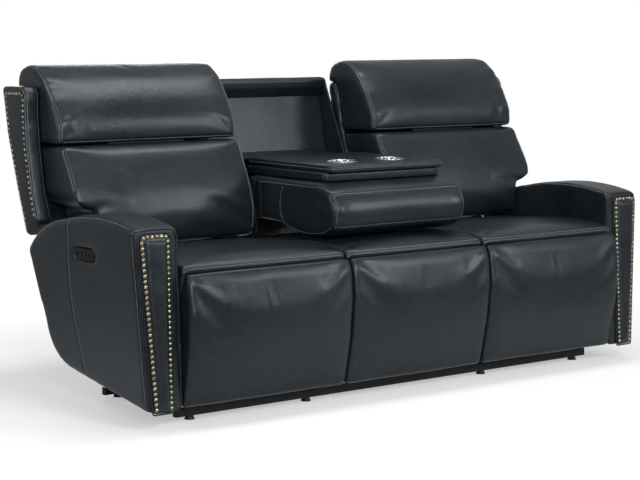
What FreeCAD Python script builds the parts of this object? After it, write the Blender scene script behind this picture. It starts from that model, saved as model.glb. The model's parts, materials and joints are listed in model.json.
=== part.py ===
"""Reclining sofa with three seats and a fold-down middle console, in millimetres.

Outlines are drawn in the side view as (y, z): y runs back from the plane of the arm fronts
and z up from the floor.  Every piece is then placed with arm_front_y, so that the finished
sofa stands with the middle of its footprint at the origin, its front facing -Y.
"""
import FreeCAD, Part
import math
import os

from FreeCAD import Placement, Rotation, Vector

SIZES = {
    "arm_front_y": -418.4,
    "middle_width": 604.0,
    "seat_width": 638.0,
    "arm_width": 160.0,
    "arm_taper": 35.0,
    "arm_puff": 15.0,
    "seam_gap": 2.0,
    "cushion_draw": 16.0,
    "deck_height": 355.0,
    "deck_thickness": 40.0,
    "deck_rim": 24.0,
    "deck_well": 25.0,
    "deck_front": 2.0,
    "deck_rear": 520.0,
    "rail_height": 26.0,
    "rail_depth": 20.0,
    "rail_reach": 907.0,
    "front_rail_y": 66.0,
    "rear_rail_y": 498.0,
    "glide_height": 12.0,
    "glide_radius": 17.0,
    "plate_spacing": 460.0,
    "plate_thickness": 4.0,
    "link_gap": 1.0,
    "link_thickness": 4.0,
    "link_radius": 12.0,
    "lower_link_length": 200.0,
    "upper_link_length": 200.0,
    "upper_link_tail": 36.0,
    "pin_radius": 5.0,
    "pin_clearance": 0.3,
    "recline_pivot_y": 540.0,
    "recline_pivot_z": 430.0,
    "hinge_shaft_radius": 9.0,
    "hinge_plate_thickness": 6.0,
    "back_inset": 16.0,
    "wing_overhang": 80.0,
    "wing_thickness": 54.0,
    "wing_chamfer": 5.0,
    "headrest_pivot_y": 612.0,
    "headrest_pivot_z": 841.0,
    "knuckle_radius": 6.0,
    "bracket_width": 300.0,
    "bracket_thickness": 3.0,
    "jamb_thickness": 8.0,
    "recess_panel_thickness": 20.0,
    "console_side_gap": 18.0,
    "console_pivot_y": 578.5,
    "console_pivot_z": 561.8,
    "console_pin_radius": 6.0,
    "console_arm_thickness": 4.0,
    "console_bracket_thickness": 3.0,
    "tray_width": 510.0,
    "tray_layer": 26.5,
    "tray_front": 122.0,
    "tray_rear": 608.0,
    "tray_height": 717.0,
    "tray_chamfer": 5.0,
    "cup_spacing": 210.0,
    "cup_y": 250.0,
    "cup_radius": 43.0,
    "cup_wall": 1.5,
    "cup_depth": 68.0,
    "cup_flange": 12.0,
    "cup_lip": 4.0,
    "cup_clearance": 0.4,
    "front_panel_width": 95.0,
    "front_panel_foot": 58.0,
    "front_panel_height": 551.0,
    "front_panel_thickness": 8.0,
    "front_panel_chamfer": 3.5,
    "bezel_length": 124.0,
    "bezel_height": 39.0,
    "bezel_thickness": 14.0,
    "bezel_face_drop": 4.0,
    "bezel_clearance": 0.3,
    "button_radius": 8.0,
    "button_height": 6.0,
    "button_pitch": 23.0,
    "button_proud": 2.0,
    "button_clearance": 0.35,
    "button_chamfer": 0.8,
    "drive_width": 34.0,
    "drive_height": 24.0,
    "drive_motor_radius": 26.0,
    "drive_motor_height": 130.0,
    "drive_motor_y": 410.0,
    "gearbox_width": 68.0,
    "gearbox_depth": 90.0,
    "gearbox_height": 44.0,
    "valance_thickness": 14.0,
    "valance_y": 560.0,
    "valance_foot": 135.0,
    "valance_height": 205.0,
}

doc = FreeCAD.newDocument("reclining_sofa")
sheet = doc.addObject("Spreadsheet::Sheet", "Sizes")
for row, (alias, number) in enumerate(SIZES.items(), start=1):
    sheet.set("A%d" % row, alias)
    sheet.set("B%d" % row, str(number))
    sheet.setAlias("B%d" % row, alias)
doc.recompute()

finished = []


def size(alias):
    """The sheet's number under this alias."""
    return float(sheet.get(alias))


def corner_arc(before, corner, after, radius):
    """Where a round corner starts, its middle and where it ends, no wider than its runs allow."""
    room = 0.46 * min((before - corner).Length, (after - corner).Length)
    towards_before = (before - corner).normalize()
    towards_after = (after - corner).normalize()
    half_turn = towards_before.getAngle(towards_after) / 2
    run = min(radius / math.tan(half_turn), room)
    bend = run * math.tan(half_turn)
    bisector = (towards_before + towards_after).normalize()
    centre = corner + bisector * (bend / math.sin(half_turn))
    return corner + towards_before * run, centre - bisector * bend, corner + towards_after * run


def rounded(points, radii):
    """A closed outline of straight runs and round corners in its own flat plane."""
    corners = [Vector(across, up, 0) for across, up in points]
    arcs = []
    for index, corner in enumerate(corners):
        before = corners[index - 1]
        after = corners[(index + 1) % len(corners)]
        arcs.append(corner_arc(before, corner, after, radii[index]))
    curves = []
    for index, (start, middle, end) in enumerate(arcs):
        curves.append(Part.Arc(start, middle, end))
        next_start = arcs[(index + 1) % len(arcs)][0]
        curves.append(Part.LineSegment(end, next_start))
    return curves


def circle(across, up, radius):
    """A circle in the plane of the side view."""
    return [Part.Circle(Vector(across, up, 0), Vector(0, 0, 1), radius)]


def slot(start, end, radius):
    """A bar outline with a round end about each of two (y, z) points."""
    first = Vector(start[0], start[1], 0)
    last = Vector(end[0], end[1], 0)
    along = (last - first).normalize()
    side = Vector(-along.y, along.x, 0) * radius
    tip = along * radius
    return [
        Part.LineSegment(first + side, last + side),
        Part.Arc(last + side, last + tip, last - side),
        Part.LineSegment(last - side, first - side),
        Part.Arc(first - side, first - tip, first + side),
    ]


def origin_plane(body, role):
    """One of the body's own origin planes."""
    return [plane for plane in body.Origin.OriginFeatures if plane.Role == role][0]


def new_body(label):
    """An empty body whose label names the finished piece."""
    body = doc.addObject("PartDesign::Body", label)
    body.Label = label
    return body


def sketch_on(body, curves, start, role="YZ_Plane"):
    """A sketch parallel to an origin plane, start mm out from it."""
    sketch = body.newObject("Sketcher::SketchObject", body.Name + "_outline")
    sketch.AttachmentSupport = [(origin_plane(body, role), "")]
    sketch.MapMode = "FlatFace"
    sketch.AttachmentOffset = Placement(Vector(0, 0, start), Rotation())
    sketch.addGeometry(curves, False)
    return sketch


def set_length(feature, length):
    """Bind a feature's length to a sheet expression, or set a worked-out number."""
    if isinstance(length, str):
        feature.setExpression("Length", length)
    else:
        feature.Length = length


def pad(body, curves, start, length, role="YZ_Plane"):
    """Grow the body by an outline pulled along the plane's normal."""
    feature = body.newObject("PartDesign::Pad", body.Name + "_pad")
    feature.Profile = sketch_on(body, curves, start, role)
    set_length(feature, length)
    doc.recompute()
    return feature


def pocket(body, curves, start, length, role="YZ_Plane"):
    """Cut the body along the plane's normal, from start and onwards."""
    before = body.Shape.Volume
    feature = body.newObject("PartDesign::Pocket", body.Name + "_pocket")
    feature.Profile = sketch_on(body, curves, start, role)
    feature.Reversed = True
    set_length(feature, length)
    doc.recompute()
    if body.Shape.Volume > before - 1:
        raise ValueError("a pocket in %s cuts nothing" % body.Label)
    return feature


def chamfer_edges(body, amount, wanted):
    """Break the tip's edges for which wanted(edge) holds."""
    tip = body.Tip
    names = ["Edge%d" % (i + 1) for i, edge in enumerate(tip.Shape.Edges) if wanted(edge)]
    feature = body.newObject("PartDesign::Chamfer", body.Name + "_chamfer")
    feature.Base = (tip, names)
    feature.Size = amount
    doc.recompute()
    return feature


def at_x(edge, value):
    """Whether an edge lies in the plane at this x."""
    box = edge.BoundBox
    return abs(box.XMin - value) < 0.01 and abs(box.XMax - value) < 0.01


def finish(piece, across=0.0, tilt=0.0, pivot=(0.0, 0.0)):
    """Place a piece in the sofa, leaned back by tilt degrees about a (y, z) point."""
    turn = Rotation(Vector(1, 0, 0), tilt)
    centre = Vector(0, pivot[0], pivot[1])
    lean = Placement(centre, Rotation()) * Placement(Vector(), turn) * Placement(-centre, Rotation())
    piece.Placement = Placement(Vector(across, size("arm_front_y"), 0), Rotation()) * lean
    finished.append(piece)


def place_member(piece, across=0.0):
    """Place a solid that is one of a group."""
    piece.Placement = Placement(Vector(across, size("arm_front_y"), 0), Rotation())


def group(label, members):
    """Separate solids that share one node."""
    doc.recompute()
    compound = doc.addObject("Part::Compound", label)
    compound.Label = label
    compound.Links = members
    finished.append(compound)
    return compound


def shaped(label, shape):
    """A feature whose shape is worked out below, such as a loft."""
    feature = doc.addObject("Part::Feature", label)
    feature.Label = label
    feature.Shape = shape
    return feature


def section(points, radii, across, inset):
    """A cushion's side outline at one x, drawn in towards its middle by inset."""
    mid_y = (min(y for y, z in points) + max(y for y, z in points)) / 2
    mid_z = (min(z for y, z in points) + max(z for y, z in points)) / 2
    half_y = max(y for y, z in points) - mid_y
    half_z = max(z for y, z in points) - mid_z
    drawn = []
    for y, z in points:
        drawn.append((mid_y + (y - mid_y) * (1 - inset / half_y), mid_z + (z - mid_z) * (1 - inset / half_z)))
    curves = rounded(drawn, radii)
    upright = Placement(Vector(across, 0, 0), Rotation(Vector(0, 1, 0), Vector(0, 0, 1), Vector(1, 0, 0), "ZXY"))
    wire = Part.Wire([curve.toShape() for curve in curves])
    wire.Placement = upright
    return wire


CROWN_STATIONS = ((1.0, 1.0), (0.93, 0.42), (0.6, 0.0))


def cushion_shape(points, radii, width, draw):
    """A stuffed form: full in its middle and drawn in towards both side seams."""
    stations = [(-part, inset) for part, inset in CROWN_STATIONS]
    stations += [(part, inset) for part, inset in reversed(CROWN_STATIONS)]
    wires = [section(points, radii, part * width / 2, inset * draw) for part, inset in stations]
    return Part.makeLoft(wires, True, True)


def cushion(label, points, radii, width, across, draw=None):
    """A cushion loft of the given width about its centre."""
    inset = size("cushion_draw") if draw is None else draw
    piece = shaped(label, cushion_shape(points, radii, width, inset))
    finish(piece, across)
    return piece


def down_forward(angle):
    """Unit (y, z) step for an angle from straight down towards the front."""
    turn = math.radians(angle)
    return Vector(-math.sin(turn), -math.cos(turn), 0)


# Widths that several pieces share.
middle_half = size("middle_width") / 2
seat_outer = middle_half + size("seat_width")
seat_centre = middle_half + size("seat_width") / 2
gap = size("seam_gap")
deck_top = size("deck_height") + size("deck_thickness")
rail_bottom = size("glide_height")
rail_top = rail_bottom + size("rail_height")
back_inner = middle_half + size("back_inset")
wing_inner = seat_outer + size("wing_overhang")
back_width = wing_inner - back_inner
back_centre = (back_inner + wing_inner) / 2
recline_pivot = (size("recline_pivot_y"), size("recline_pivot_z"))
pin = size("pin_radius")
pin_hole = pin + size("pin_clearance")
SIDES = (("left", -1), ("right", 1))
SOFT_GAP = 0.3

# The seat lift's pivots at rest, as (y, z).
lift_pivot = (40.0, 290.0)
lift_rest = 5.0
fold_rest = 175.8
lift_open = 100.0
fold_open = 115.0


def step(point, distance, angle):
    """The (y, z) point a distance away at an angle from straight down."""
    moved = Vector(point[0], point[1], 0) + down_forward(angle) * distance
    return (moved.x, moved.y)


knee = step(lift_pivot, size("lower_link_length"), lift_rest)
board_pivot = step(knee, size("upper_link_length"), fold_rest)
tail = step(knee, -size("upper_link_tail"), fold_rest)
knee_open = step(lift_pivot, size("lower_link_length"), lift_open)
tail_open = step(knee_open, -size("upper_link_tail"), fold_open)
CROSS_PIVOT_SET_BACK = 145.0
tail_travel = Vector(tail_open[0] - tail[0], tail_open[1] - tail[1], 0)
tail_middle = Vector(tail_open[0] + tail[0], tail_open[1] + tail[1], 0) * 0.5
square_to_travel = Vector(tail_travel.y, -tail_travel.x, 0).normalize()
cross_centre = tail_middle + square_to_travel * CROSS_PIVOT_SET_BACK
cross_pivot = (cross_centre.x, cross_centre.y)


def rails():
    """Cross tubes that tie the base together, and the glides under them."""
    for label, alias in (("front_rail", "front_rail_y"), ("rear_rail", "rear_rail_y")):
        rail = doc.addObject("Part::Box", label)
        rail.Label = label
        rail.setExpression("Length", "2 * Sizes.rail_reach")
        rail.setExpression("Width", "Sizes.rail_depth")
        rail.setExpression("Height", "Sizes.rail_height")
        rail.Placement = Placement(
            Vector(-size("rail_reach"), size("arm_front_y") + size(alias), rail_bottom), Rotation())
        finished.append(rail)
    members = []
    for name, side in SIDES:
        for end in (-1, 1):
            for alias in ("front_rail_y", "rear_rail_y"):
                glide = doc.addObject("Part::Cone", "glide")
                glide.setExpression("Radius1", "Sizes.glide_radius")
                glide.setExpression("Radius2", "Sizes.glide_radius - 5")
                glide.setExpression("Height", "Sizes.glide_height")
                across = side * seat_centre + end * size("plate_spacing") / 2
                back = size("arm_front_y") + size(alias) + size("rail_depth") / 2
                glide.Placement = Placement(Vector(across, back, 0), Rotation())
                members.append(glide)
    group("floor_glides", members)


def side_plates(name, side):
    """The two steel plates of a seat mechanism, which carry the deck and both pivots."""
    outline = [(24, 355), (24, 262), (58, 222), (58, rail_top), (540, rail_top),
               (560, 190), (560, 444), (526, 444), (526, 345), (516, 355)]
    radii = [4, 24, 26, 3, 18, 60, 14, 14, 3, 2]
    window = [(130, 110), (470, 110), (440, 250), (110, 250)]
    for place, end in (("inner", -side), ("outer", side)):
        body = new_body("%s_%s_side_plate" % (name, place))
        pad(body, rounded(outline, radii), 0, "Sizes.plate_thickness")
        pocket(body, rounded(window, [26] * 4), 0, "Sizes.plate_thickness")
        for point, radius in ((lift_pivot, pin_hole), (cross_pivot, pin_hole),
                              (recline_pivot, size("hinge_shaft_radius") + size("pin_clearance"))):
            pocket(body, circle(point[0], point[1], radius), 0, "Sizes.plate_thickness")
        centre = side * seat_centre + end * size("plate_spacing") / 2
        finish(body, centre - size("plate_thickness") / 2)


def link_layers(side, end, layer):
    """Where a link's flat bar starts in x, counted in layers in from its side plate."""
    plate = side * seat_centre + end * size("plate_spacing") / 2
    inward = -end
    near = size("plate_thickness") / 2 + size("link_gap") + layer * (size("link_thickness") + size("link_gap"))
    near_face = plate + inward * near
    return near_face if inward > 0 else near_face - size("link_thickness")


def link_pair(label, side, layer, start, end_point, pins, holes):
    """Two flat links of one seat, one at each side plate, with the pins they carry.

    A pin reaches from its own bar outwards to the side plate, or across one layer to the
    next bar.  It is given as its point and the layer it reaches, -1 being the side plate.
    """
    members = []
    for end in (-1, 1):
        body = new_body("%s_bar" % label)
        near = link_layers(side, end, layer)
        thickness = size("link_thickness")
        pad(body, slot(start, end_point, size("link_radius")), near, "Sizes.link_thickness")
        for point, target in pins:
            outer = side * seat_centre + end * size("plate_spacing") / 2
            if target >= 0:
                far = link_layers(side, end, target)
            else:
                far = outer - size("plate_thickness") / 2
            low = min(near, far)
            high = max(near + thickness, far + thickness)
            pad(body, circle(point[0], point[1], pin), low, high - low)
        for point in holes:
            pocket(body, circle(point[0], point[1], pin_hole), near, "Sizes.link_thickness")
        place_member(body)
        members.append(body)
    group(label, members)


def seat_lift(name, side):
    """The folding links that carry the footrest."""
    link_pair("%s_cross_links" % name, side, 0, cross_pivot, tail, [(cross_pivot, -1)], [tail])
    link_pair("%s_lower_links" % name, side, 1, lift_pivot, knee, [(lift_pivot, -1)], [knee])
    link_pair("%s_upper_links" % name, side, 2, tail, board_pivot, [(knee, 1)], [board_pivot])


FOOTREST_FRAME_TOP = 330.0
FOOTREST_PLANE = -4.0


def footrest(name, side):
    """The steel frame that the upper links carry, and the pad on it."""
    body = new_body("%s_footrest_frame" % name)
    half = size("plate_spacing") / 2
    inset = (size("plate_thickness") / 2 + size("link_gap")
             + 3 * (size("link_thickness") + size("link_gap")))
    reach = half - inset
    plate = [(FOOTREST_PLANE, 250), (0, 250), (0, FOOTREST_FRAME_TOP), (FOOTREST_PLANE, FOOTREST_FRAME_TOP)]
    pad(body, rounded(plate, [0.5] * 4), -reach, 2 * reach)
    ear = [(FOOTREST_PLANE + 1, 268), (board_pivot[0] + 4, 276), (board_pivot[0] + 12, board_pivot[1]),
           (board_pivot[0] + 4, 306), (FOOTREST_PLANE + 1, 314)]
    for low in (-reach, reach - size("link_thickness")):
        pad(body, rounded(ear, [2, 8, 6, 8, 2]), low, "Sizes.link_thickness")
    layer = size("link_thickness") + size("link_gap")
    pad(body, circle(board_pivot[0], board_pivot[1], pin), -reach - layer, layer + 1)
    pad(body, circle(board_pivot[0], board_pivot[1], pin), reach - 1, layer + 1)
    finish(body, side * seat_centre)
    front_pad("%s_footrest_pad" % name, side * seat_centre, size("seat_width") - 2 * gap, FOOTREST_PLANE - 0.3)


def front_pad(label, across, width, rear):
    """The tall front cushion under a seat's nose."""
    outline = [(rear, 60), (rear, 392), (-38, 484), (-48, 484), (-68, 452), (-81, 354),
               (-68, 230), (-34, 76), (-25, 60)]
    cushion(label, outline, [3, 6, 4, 8, 40, 60, 60, 14, 5], width, across, 12.0)


def seats():
    """The seat decks with their spring wells, the seat cushions and the middle's fixed front."""
    base = deck_top + SOFT_GAP
    crown = [(2, base), (-32, 490), (-29, 503), (30, 516), (170, 521), (516, 498), (516, base)]
    radii = [4, 5, 12, 60, 400, 16, 6]
    for label, across, width in (
            ("left", -seat_centre, size("seat_width")),
            ("middle", 0, size("middle_width")),
            ("right", seat_centre, size("seat_width"))):
        deck = new_body("%s_seat_deck" % label)
        front = size("deck_front")
        rear = size("deck_rear")
        deep = size("deck_thickness")
        floor = size("deck_height")
        board = [(-width / 2, front), (width / 2, front), (width / 2, rear), (-width / 2, rear)]
        rim = size("deck_rim")
        well = [(-width / 2 + rim, front + rim), (width / 2 - rim, front + rim),
                (width / 2 - rim, rear - rim), (-width / 2 + rim, rear - rim)]
        pad(deck, rounded(board, [1] * 4), floor, "Sizes.deck_thickness", "XY_Plane")
        pocket(deck, rounded(well, [20] * 4), floor + deep - size("deck_well"), "Sizes.deck_well", "XY_Plane")
        finish(deck, across)
        cushion("%s_seat_cushion" % label, crown, radii, width - 2 * gap, across)
    front_pad("middle_front_panel", 0, size("middle_width") - 2 * gap, front - 0.3)


ARM_TOP = 645.0


def arm_wire(side, across, inset, lean):
    """The arm's side outline at one distance out, leaning in towards its foot."""
    points = [(0, 622), (190, 646), (440, 621), (570, 585), (668, 519), (683, 500), (673, 475),
              (592, 272), (545, 178), (437, 126), (-28, 55)]
    mid_y, mid_z = 320.0, 340.0
    moved = []
    for y, z in points:
        away = Vector(y - mid_y, z - mid_z, 0)
        away = away * (1 - inset / away.Length)
        depth_in = lean * (ARM_TOP - mid_z - away.y) / ARM_TOP
        moved.append(Vector(side * (across - depth_in), mid_y + away.x, mid_z + away.y))
    edges = []
    for start, end in ((0, 2), (2, 4), (4, 6), (7, 9)):
        edges.append(Part.Arc(moved[start], moved[start + 1], moved[end]).toShape())
    straight = [(6, 7), (9, 10), (10, 0)]
    for start, end in straight:
        edges.append(Part.LineSegment(moved[start], moved[end]).toShape())
    return Part.Wire(Part.__sortEdges__(edges))


def arms():
    """Upholstered arm housings with a place cut for the control strip."""
    puff = size("arm_puff")
    width = size("arm_width")
    for name, side in SIDES:
        stations = ((0, 8, 0), (14, 0, 0), (width - 22, 0, 0.9), (width - 6, 6, 1.0), (width, puff, 1.0))
        wires = []
        for out, inset, lean in stations:
            wires.append(arm_wire(side, seat_outer + out, inset, lean * size("arm_taper")))
        shape = Part.makeLoft(wires, True, True)
        place = stadium_prism(side, bezel_back(), width, size("bezel_clearance"))
        arm = shaped("%s_arm" % name, shape.cut(place))
        finish(arm)


CONTROL_CENTRE = (306.0, 517.0)


def bezel_back():
    """How far out of the seat the control strip's back face lies."""
    outer = size("arm_width") - size("bezel_face_drop") - size("arm_taper") * (ARM_TOP - CONTROL_CENTRE[1]) / ARM_TOP
    return outer - size("bezel_thickness")


def stadium(clearance):
    """The control strip's outline, grown by a clearance."""
    half = (size("bezel_length") - size("bezel_height")) / 2
    y, z = CONTROL_CENTRE
    return slot((y - half, z), (y + half, z), size("bezel_height") / 2 + clearance)


def stadium_prism(side, inner, outer, clearance):
    """The control strip's outline as a solid between two distances out from the seat."""
    wire = Part.Wire([curve.toShape() for curve in stadium(clearance)])
    wire.Placement = Placement(Vector(side * (seat_outer + inner), 0, 0),
                               Rotation(Vector(0, 1, 0), Vector(0, 0, 1), Vector(1, 0, 0), "ZXY"))
    return Part.Face(wire).extrude(Vector(side * (outer - inner + 30), 0, 0))


BUTTONS = ("headrest_up", "headrest_down", "recline", "upright")


def controls():
    """Oval control strips in the arms' outer sides, each with a row of push buttons."""
    deep = size("bezel_thickness")
    strips = []
    for name, side in SIDES:
        body = new_body("%s_control_strip" % name)
        back = side * (seat_outer + bezel_back())
        low = min(back, back + side * deep)
        pad(body, stadium(0), low, "Sizes.bezel_thickness")
        seat = size("button_height") - size("button_proud")
        travel = 2.0
        hole_deep = seat + travel
        hole_low = low + deep - hole_deep if side > 0 else low
        for index, use in enumerate(BUTTONS):
            y = CONTROL_CENTRE[0] + (index - 2) * size("button_pitch")
            hole = circle(y, CONTROL_CENTRE[1], size("button_radius") + size("button_clearance"))
            pocket(body, hole, hole_low, hole_deep)
            button = new_body("%s_%s_button" % (name, use))
            cap_low = low + deep - seat if side > 0 else low + seat - size("button_height")
            pad(button, circle(y, CONTROL_CENTRE[1], size("button_radius")), cap_low, "Sizes.button_height")
            face = cap_low + size("button_height") if side > 0 else cap_low
            chamfer_edges(button, size("button_chamfer"), lambda edge: at_x(edge, face))
            finish(button)
        port_y = CONTROL_CENTRE[0] + 2 * size("button_pitch") - 4
        port = [(port_y - 4, 513), (port_y + 4, 513), (port_y + 4, 521), (port_y - 4, 521)]
        pocket(body, rounded(port, [1] * 4), hole_low, hole_deep)
        place_member(body)
        strips.append(body)
    group("control_strips", strips)


def arm_front_panels():
    """Raised panels on the arm fronts, narrower at the foot."""
    panels = []
    lean = math.degrees(math.atan2(28.0, 567.0))
    top = size("front_panel_width") / 2
    foot = size("front_panel_foot") / 2
    for name, side in SIDES:
        body = new_body("%s_arm_front" % name)
        shift = -side * 12.5
        outline = [(-foot + shift, 56), (foot + shift, 56), (top, 56 + size("front_panel_height")),
                   (-top, 56 + size("front_panel_height"))]
        pad(body, rounded(outline, [5, 5, 22, 22]), 0, "Sizes.front_panel_thickness", "XZ_Plane")
        front = min(edge.BoundBox.YMin for edge in body.Shape.Edges)
        chamfer_edges(body, size("front_panel_chamfer"), lambda edge: abs(edge.BoundBox.YMax - front) < 0.01)
        centre = side * (seat_outer + size("arm_width") / 2 + 7)
        turn = Placement(Vector(0, 0, 622), Rotation()) * Placement(Vector(), Rotation(Vector(1, 0, 0), -lean))
        turn = turn * Placement(Vector(0, 0, -622), Rotation())
        body.Placement = Placement(Vector(centre, size("arm_front_y") - SOFT_GAP, 0), Rotation()) * turn
        panels.append(body)
    group("arm_front_panels", panels)


OVERHANG_FOOT = 634.0


def arm_room(side, centre, top):
    """The block that a back leaves free for the arm under its overhang."""
    inner = side * (seat_outer - gap) - centre
    outer = side * (wing_inner + 20) - centre
    return Part.makeBox(abs(outer - inner), 500, top - 300, Vector(min(inner, outer), 380, 300))


SHELL_REAR = ((690, 400), (784, 695), (838, 850), (873, 1018))
SHELL_DEPTH = 58.0


def backs(name, side):
    """A reclining back: its shell, hinge, cushion, side wing and headrest."""
    centre = side * back_centre
    shell = new_body("%s_back_shell" % name)
    outline = list(SHELL_REAR) + [(y - SHELL_DEPTH, z) for y, z in reversed(SHELL_REAR)]
    pad(shell, rounded(outline, [14, 200, 300, 16, 16, 300, 200, 14]), -back_width / 2, back_width)
    over_arm = side * (seat_outer - gap - side * centre)
    far = side * (back_width / 2 + 10)
    low_end, high_end = min(over_arm, far), max(over_arm, far)
    pocket(shell, rounded([(600, 380), (760, 380), (760, 560), (600, 560)], [1] * 4), low_end, high_end - low_end)
    finish(shell, centre)

    hinge = new_body("%s_back_hinge" % name)
    half = size("plate_spacing") / 2
    shaft = size("hinge_shaft_radius")
    thick = size("hinge_plate_thickness")
    reach = half + size("plate_thickness") / 2
    pad(hinge, circle(recline_pivot[0], recline_pivot[1], shaft), -reach, 2 * reach)
    front_of_shell = [(SHELL_REAR[0][0] - SHELL_DEPTH, SHELL_REAR[0][1]),
                      (SHELL_REAR[1][0] - SHELL_DEPTH, SHELL_REAR[1][1])]
    share = 0.3
    upper = tuple(front_of_shell[0][i] + share * (front_of_shell[1][i] - front_of_shell[0][i]) for i in (0, 1))
    lower = tuple(front_of_shell[0][i] + 0.06 * (front_of_shell[1][i] - front_of_shell[0][i]) for i in (0, 1))
    arm = [(recline_pivot[0] - 15, recline_pivot[1] - 14), lower, upper,
           (recline_pivot[0] - 15, recline_pivot[1] + 14)]
    offset = thick + size("link_gap") + size("plate_thickness") / 2
    for low in (-half + offset - thick, half - offset):
        pad(hinge, rounded(arm, [12, 2, 2, 12]), low, "Sizes.hinge_plate_thickness")
    finish(hinge, side * seat_centre)

    shell_top_front = (SHELL_REAR[3][0] - SHELL_DEPTH, SHELL_REAR[3][1])
    lumbar = [(524, 516), (474, 524), (466, 606), (500, 690), (548, 775), (602, 824), (640, 830),
              (768.1, 830), (725.1, 695), (671.1, 524), (656, 516)]
    full = cushion_shape(lumbar, [14, 24, 60, 120, 60, 16, 10, 6, 100, 8, 6], back_width - 2 * gap, 22.0)
    back_cushion = shaped("%s_back_cushion" % name, full.cut(arm_room(side, centre, OVERHANG_FOOT)))
    finish(back_cushion, centre)

    wing = new_body("%s_wing" % name)
    side_outline = [(634, 587), (672, 690), (698, 824), (708, 922), (706, 1004), (728, 1034), (874, 1030),
                    (836, 850), (780, 695), (718, 541), (704, 537)]
    low = 0 if side > 0 else -size("wing_thickness")
    pad(wing, rounded(side_outline, [14, 100, 200, 120, 20, 18, 10, 200, 200, 8, 6]), low, "Sizes.wing_thickness")
    outer = side * size("wing_thickness")
    chamfer_edges(wing, size("wing_chamfer"), lambda edge: at_x(edge, outer))
    finish(wing, side * wing_inner)

    bracket = new_body("%s_headrest_bracket" % name)
    radius = size("knuckle_radius")
    y, z = size("headrest_pivot_y"), size("headrest_pivot_z")
    wide = size("bracket_width")
    thickness = size("bracket_thickness")
    plate_low = z - radius - 2
    shell_front = shell_front_at(plate_low)
    plate = [(y - 4, plate_low), (shell_front, plate_low), (shell_front, plate_low + thickness),
             (y - 4, plate_low + thickness)]
    pad(bracket, rounded(plate, [1] * 4), -wide / 2, "Sizes.bracket_width")
    pad(bracket, circle(y, z, radius), -wide / 2, "Sizes.bracket_width")
    finish(bracket, centre)

    head = [(612, 842), (601, 852), (599, 912), (633, 985), (690, 1058), (744, 1097), (800, 1103),
            (848, 1086), (862, 1048), (852, 1034), (shell_top_front[0] - 5, 1034), (shell_front - 5, 842)]
    shape = cushion_shape(head, [3, 8, 50, 60, 60, 50, 60, 30, 12, 4, 4, 6], back_width - 2 * gap, 22.0)
    turn = Rotation(Vector(0, 0, 1), Vector(1, 0, 0))
    groove = Part.makeCylinder(radius + size("pin_clearance"), wide + 2)
    groove.Placement = Placement(Vector(-wide / 2 - 1, y, z), turn)
    headrest = shaped("%s_headrest" % name, shape.cut(groove))
    finish(headrest, centre)


def shell_front_at(height):
    """How far back the shell's front face lies at a height between its middle corners."""
    low, high = SHELL_REAR[1], SHELL_REAR[2]
    share = (height - low[1]) / (high[1] - low[1])
    return low[0] + share * (high[0] - low[0]) - SHELL_DEPTH


LEAN_FOOT = (759.0, 397.0)
LEAN_TOP = (888.0, 966.0)


def middle_back():
    """The fixed middle back: two side panels, the recess panel and the bar over it."""
    thick = size("jamb_thickness")
    jamb_outer = middle_half - 1
    outline = [(520, 395), (640, 520), (749, 763), (857, 1000), (908, 1000), (786, 372), (600, 340), (520, 356)]
    for name, side in SIDES:
        body = new_body("%s_middle_side_panel" % name)
        pad(body, rounded(outline, [2, 60, 60, 8, 8, 30, 30, 2]), 0, "Sizes.jamb_thickness")
        finish(body, jamb_outer - thick if side > 0 else -jamb_outer)
    deep = size("recess_panel_thickness")
    panel = new_body("recess_panel")
    board = [LEAN_FOOT, LEAN_TOP, (LEAN_TOP[0] + deep, LEAN_TOP[1]), (LEAN_FOOT[0] + deep, LEAN_FOOT[1])]
    inner = jamb_outer - thick
    pad(panel, rounded(board, [2] * 4), -inner, 2 * inner)
    finish(panel)
    bar = new_body("middle_top_bar")
    profile = [(889, 966.5), (912, 966.5), (918, 1010), (906, 1034), (880, 1040), (864, 1028), (868, 1001)]
    pad(bar, rounded(profile, [2, 10, 16, 16, 10, 10, 4]), -inner, 2 * inner)
    finish(bar)


def valance():
    """The low rear panel between the mechanisms and the room."""
    board = doc.addObject("Part::Box", "rear_valance")
    board.Label = "rear_valance"
    board.setExpression("Length", "2 * Sizes.rail_reach")
    board.setExpression("Width", "Sizes.valance_thickness")
    board.setExpression("Height", "Sizes.valance_height")
    rear = size("arm_front_y") + size("valance_y")
    board.Placement = Placement(Vector(-size("rail_reach"), rear, size("valance_foot")), Rotation())
    finished.append(board)


def drives():
    """A gear motor on its own rail in each seat's mechanism."""
    for name, side in SIDES:
        body = new_body("%s_drive" % name)
        width = size("drive_width")
        top = rail_top + size("drive_height")
        front, rear = size("front_rail_y"), size("rear_rail_y")
        rail = [(front, rail_top), (rear, rail_top), (rear, top), (front, top)]
        pad(body, rounded(rail, [2] * 4), -width / 2, "Sizes.drive_width")
        radius = size("drive_motor_radius")
        middle = size("drive_motor_y")
        pad(body, circle(0, middle, radius), top - 1, "Sizes.drive_motor_height", "XY_Plane")
        half_width = size("gearbox_width") / 2
        half_depth = size("gearbox_depth") / 2
        gearbox = [(-half_width, middle - half_depth), (half_width, middle - half_depth),
                   (half_width, middle + half_depth), (-half_width, middle + half_depth)]
        pad(body, rounded(gearbox, [10] * 4), top - 1, "Sizes.gearbox_height", "XY_Plane")
        finish(body, side * seat_centre)


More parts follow.
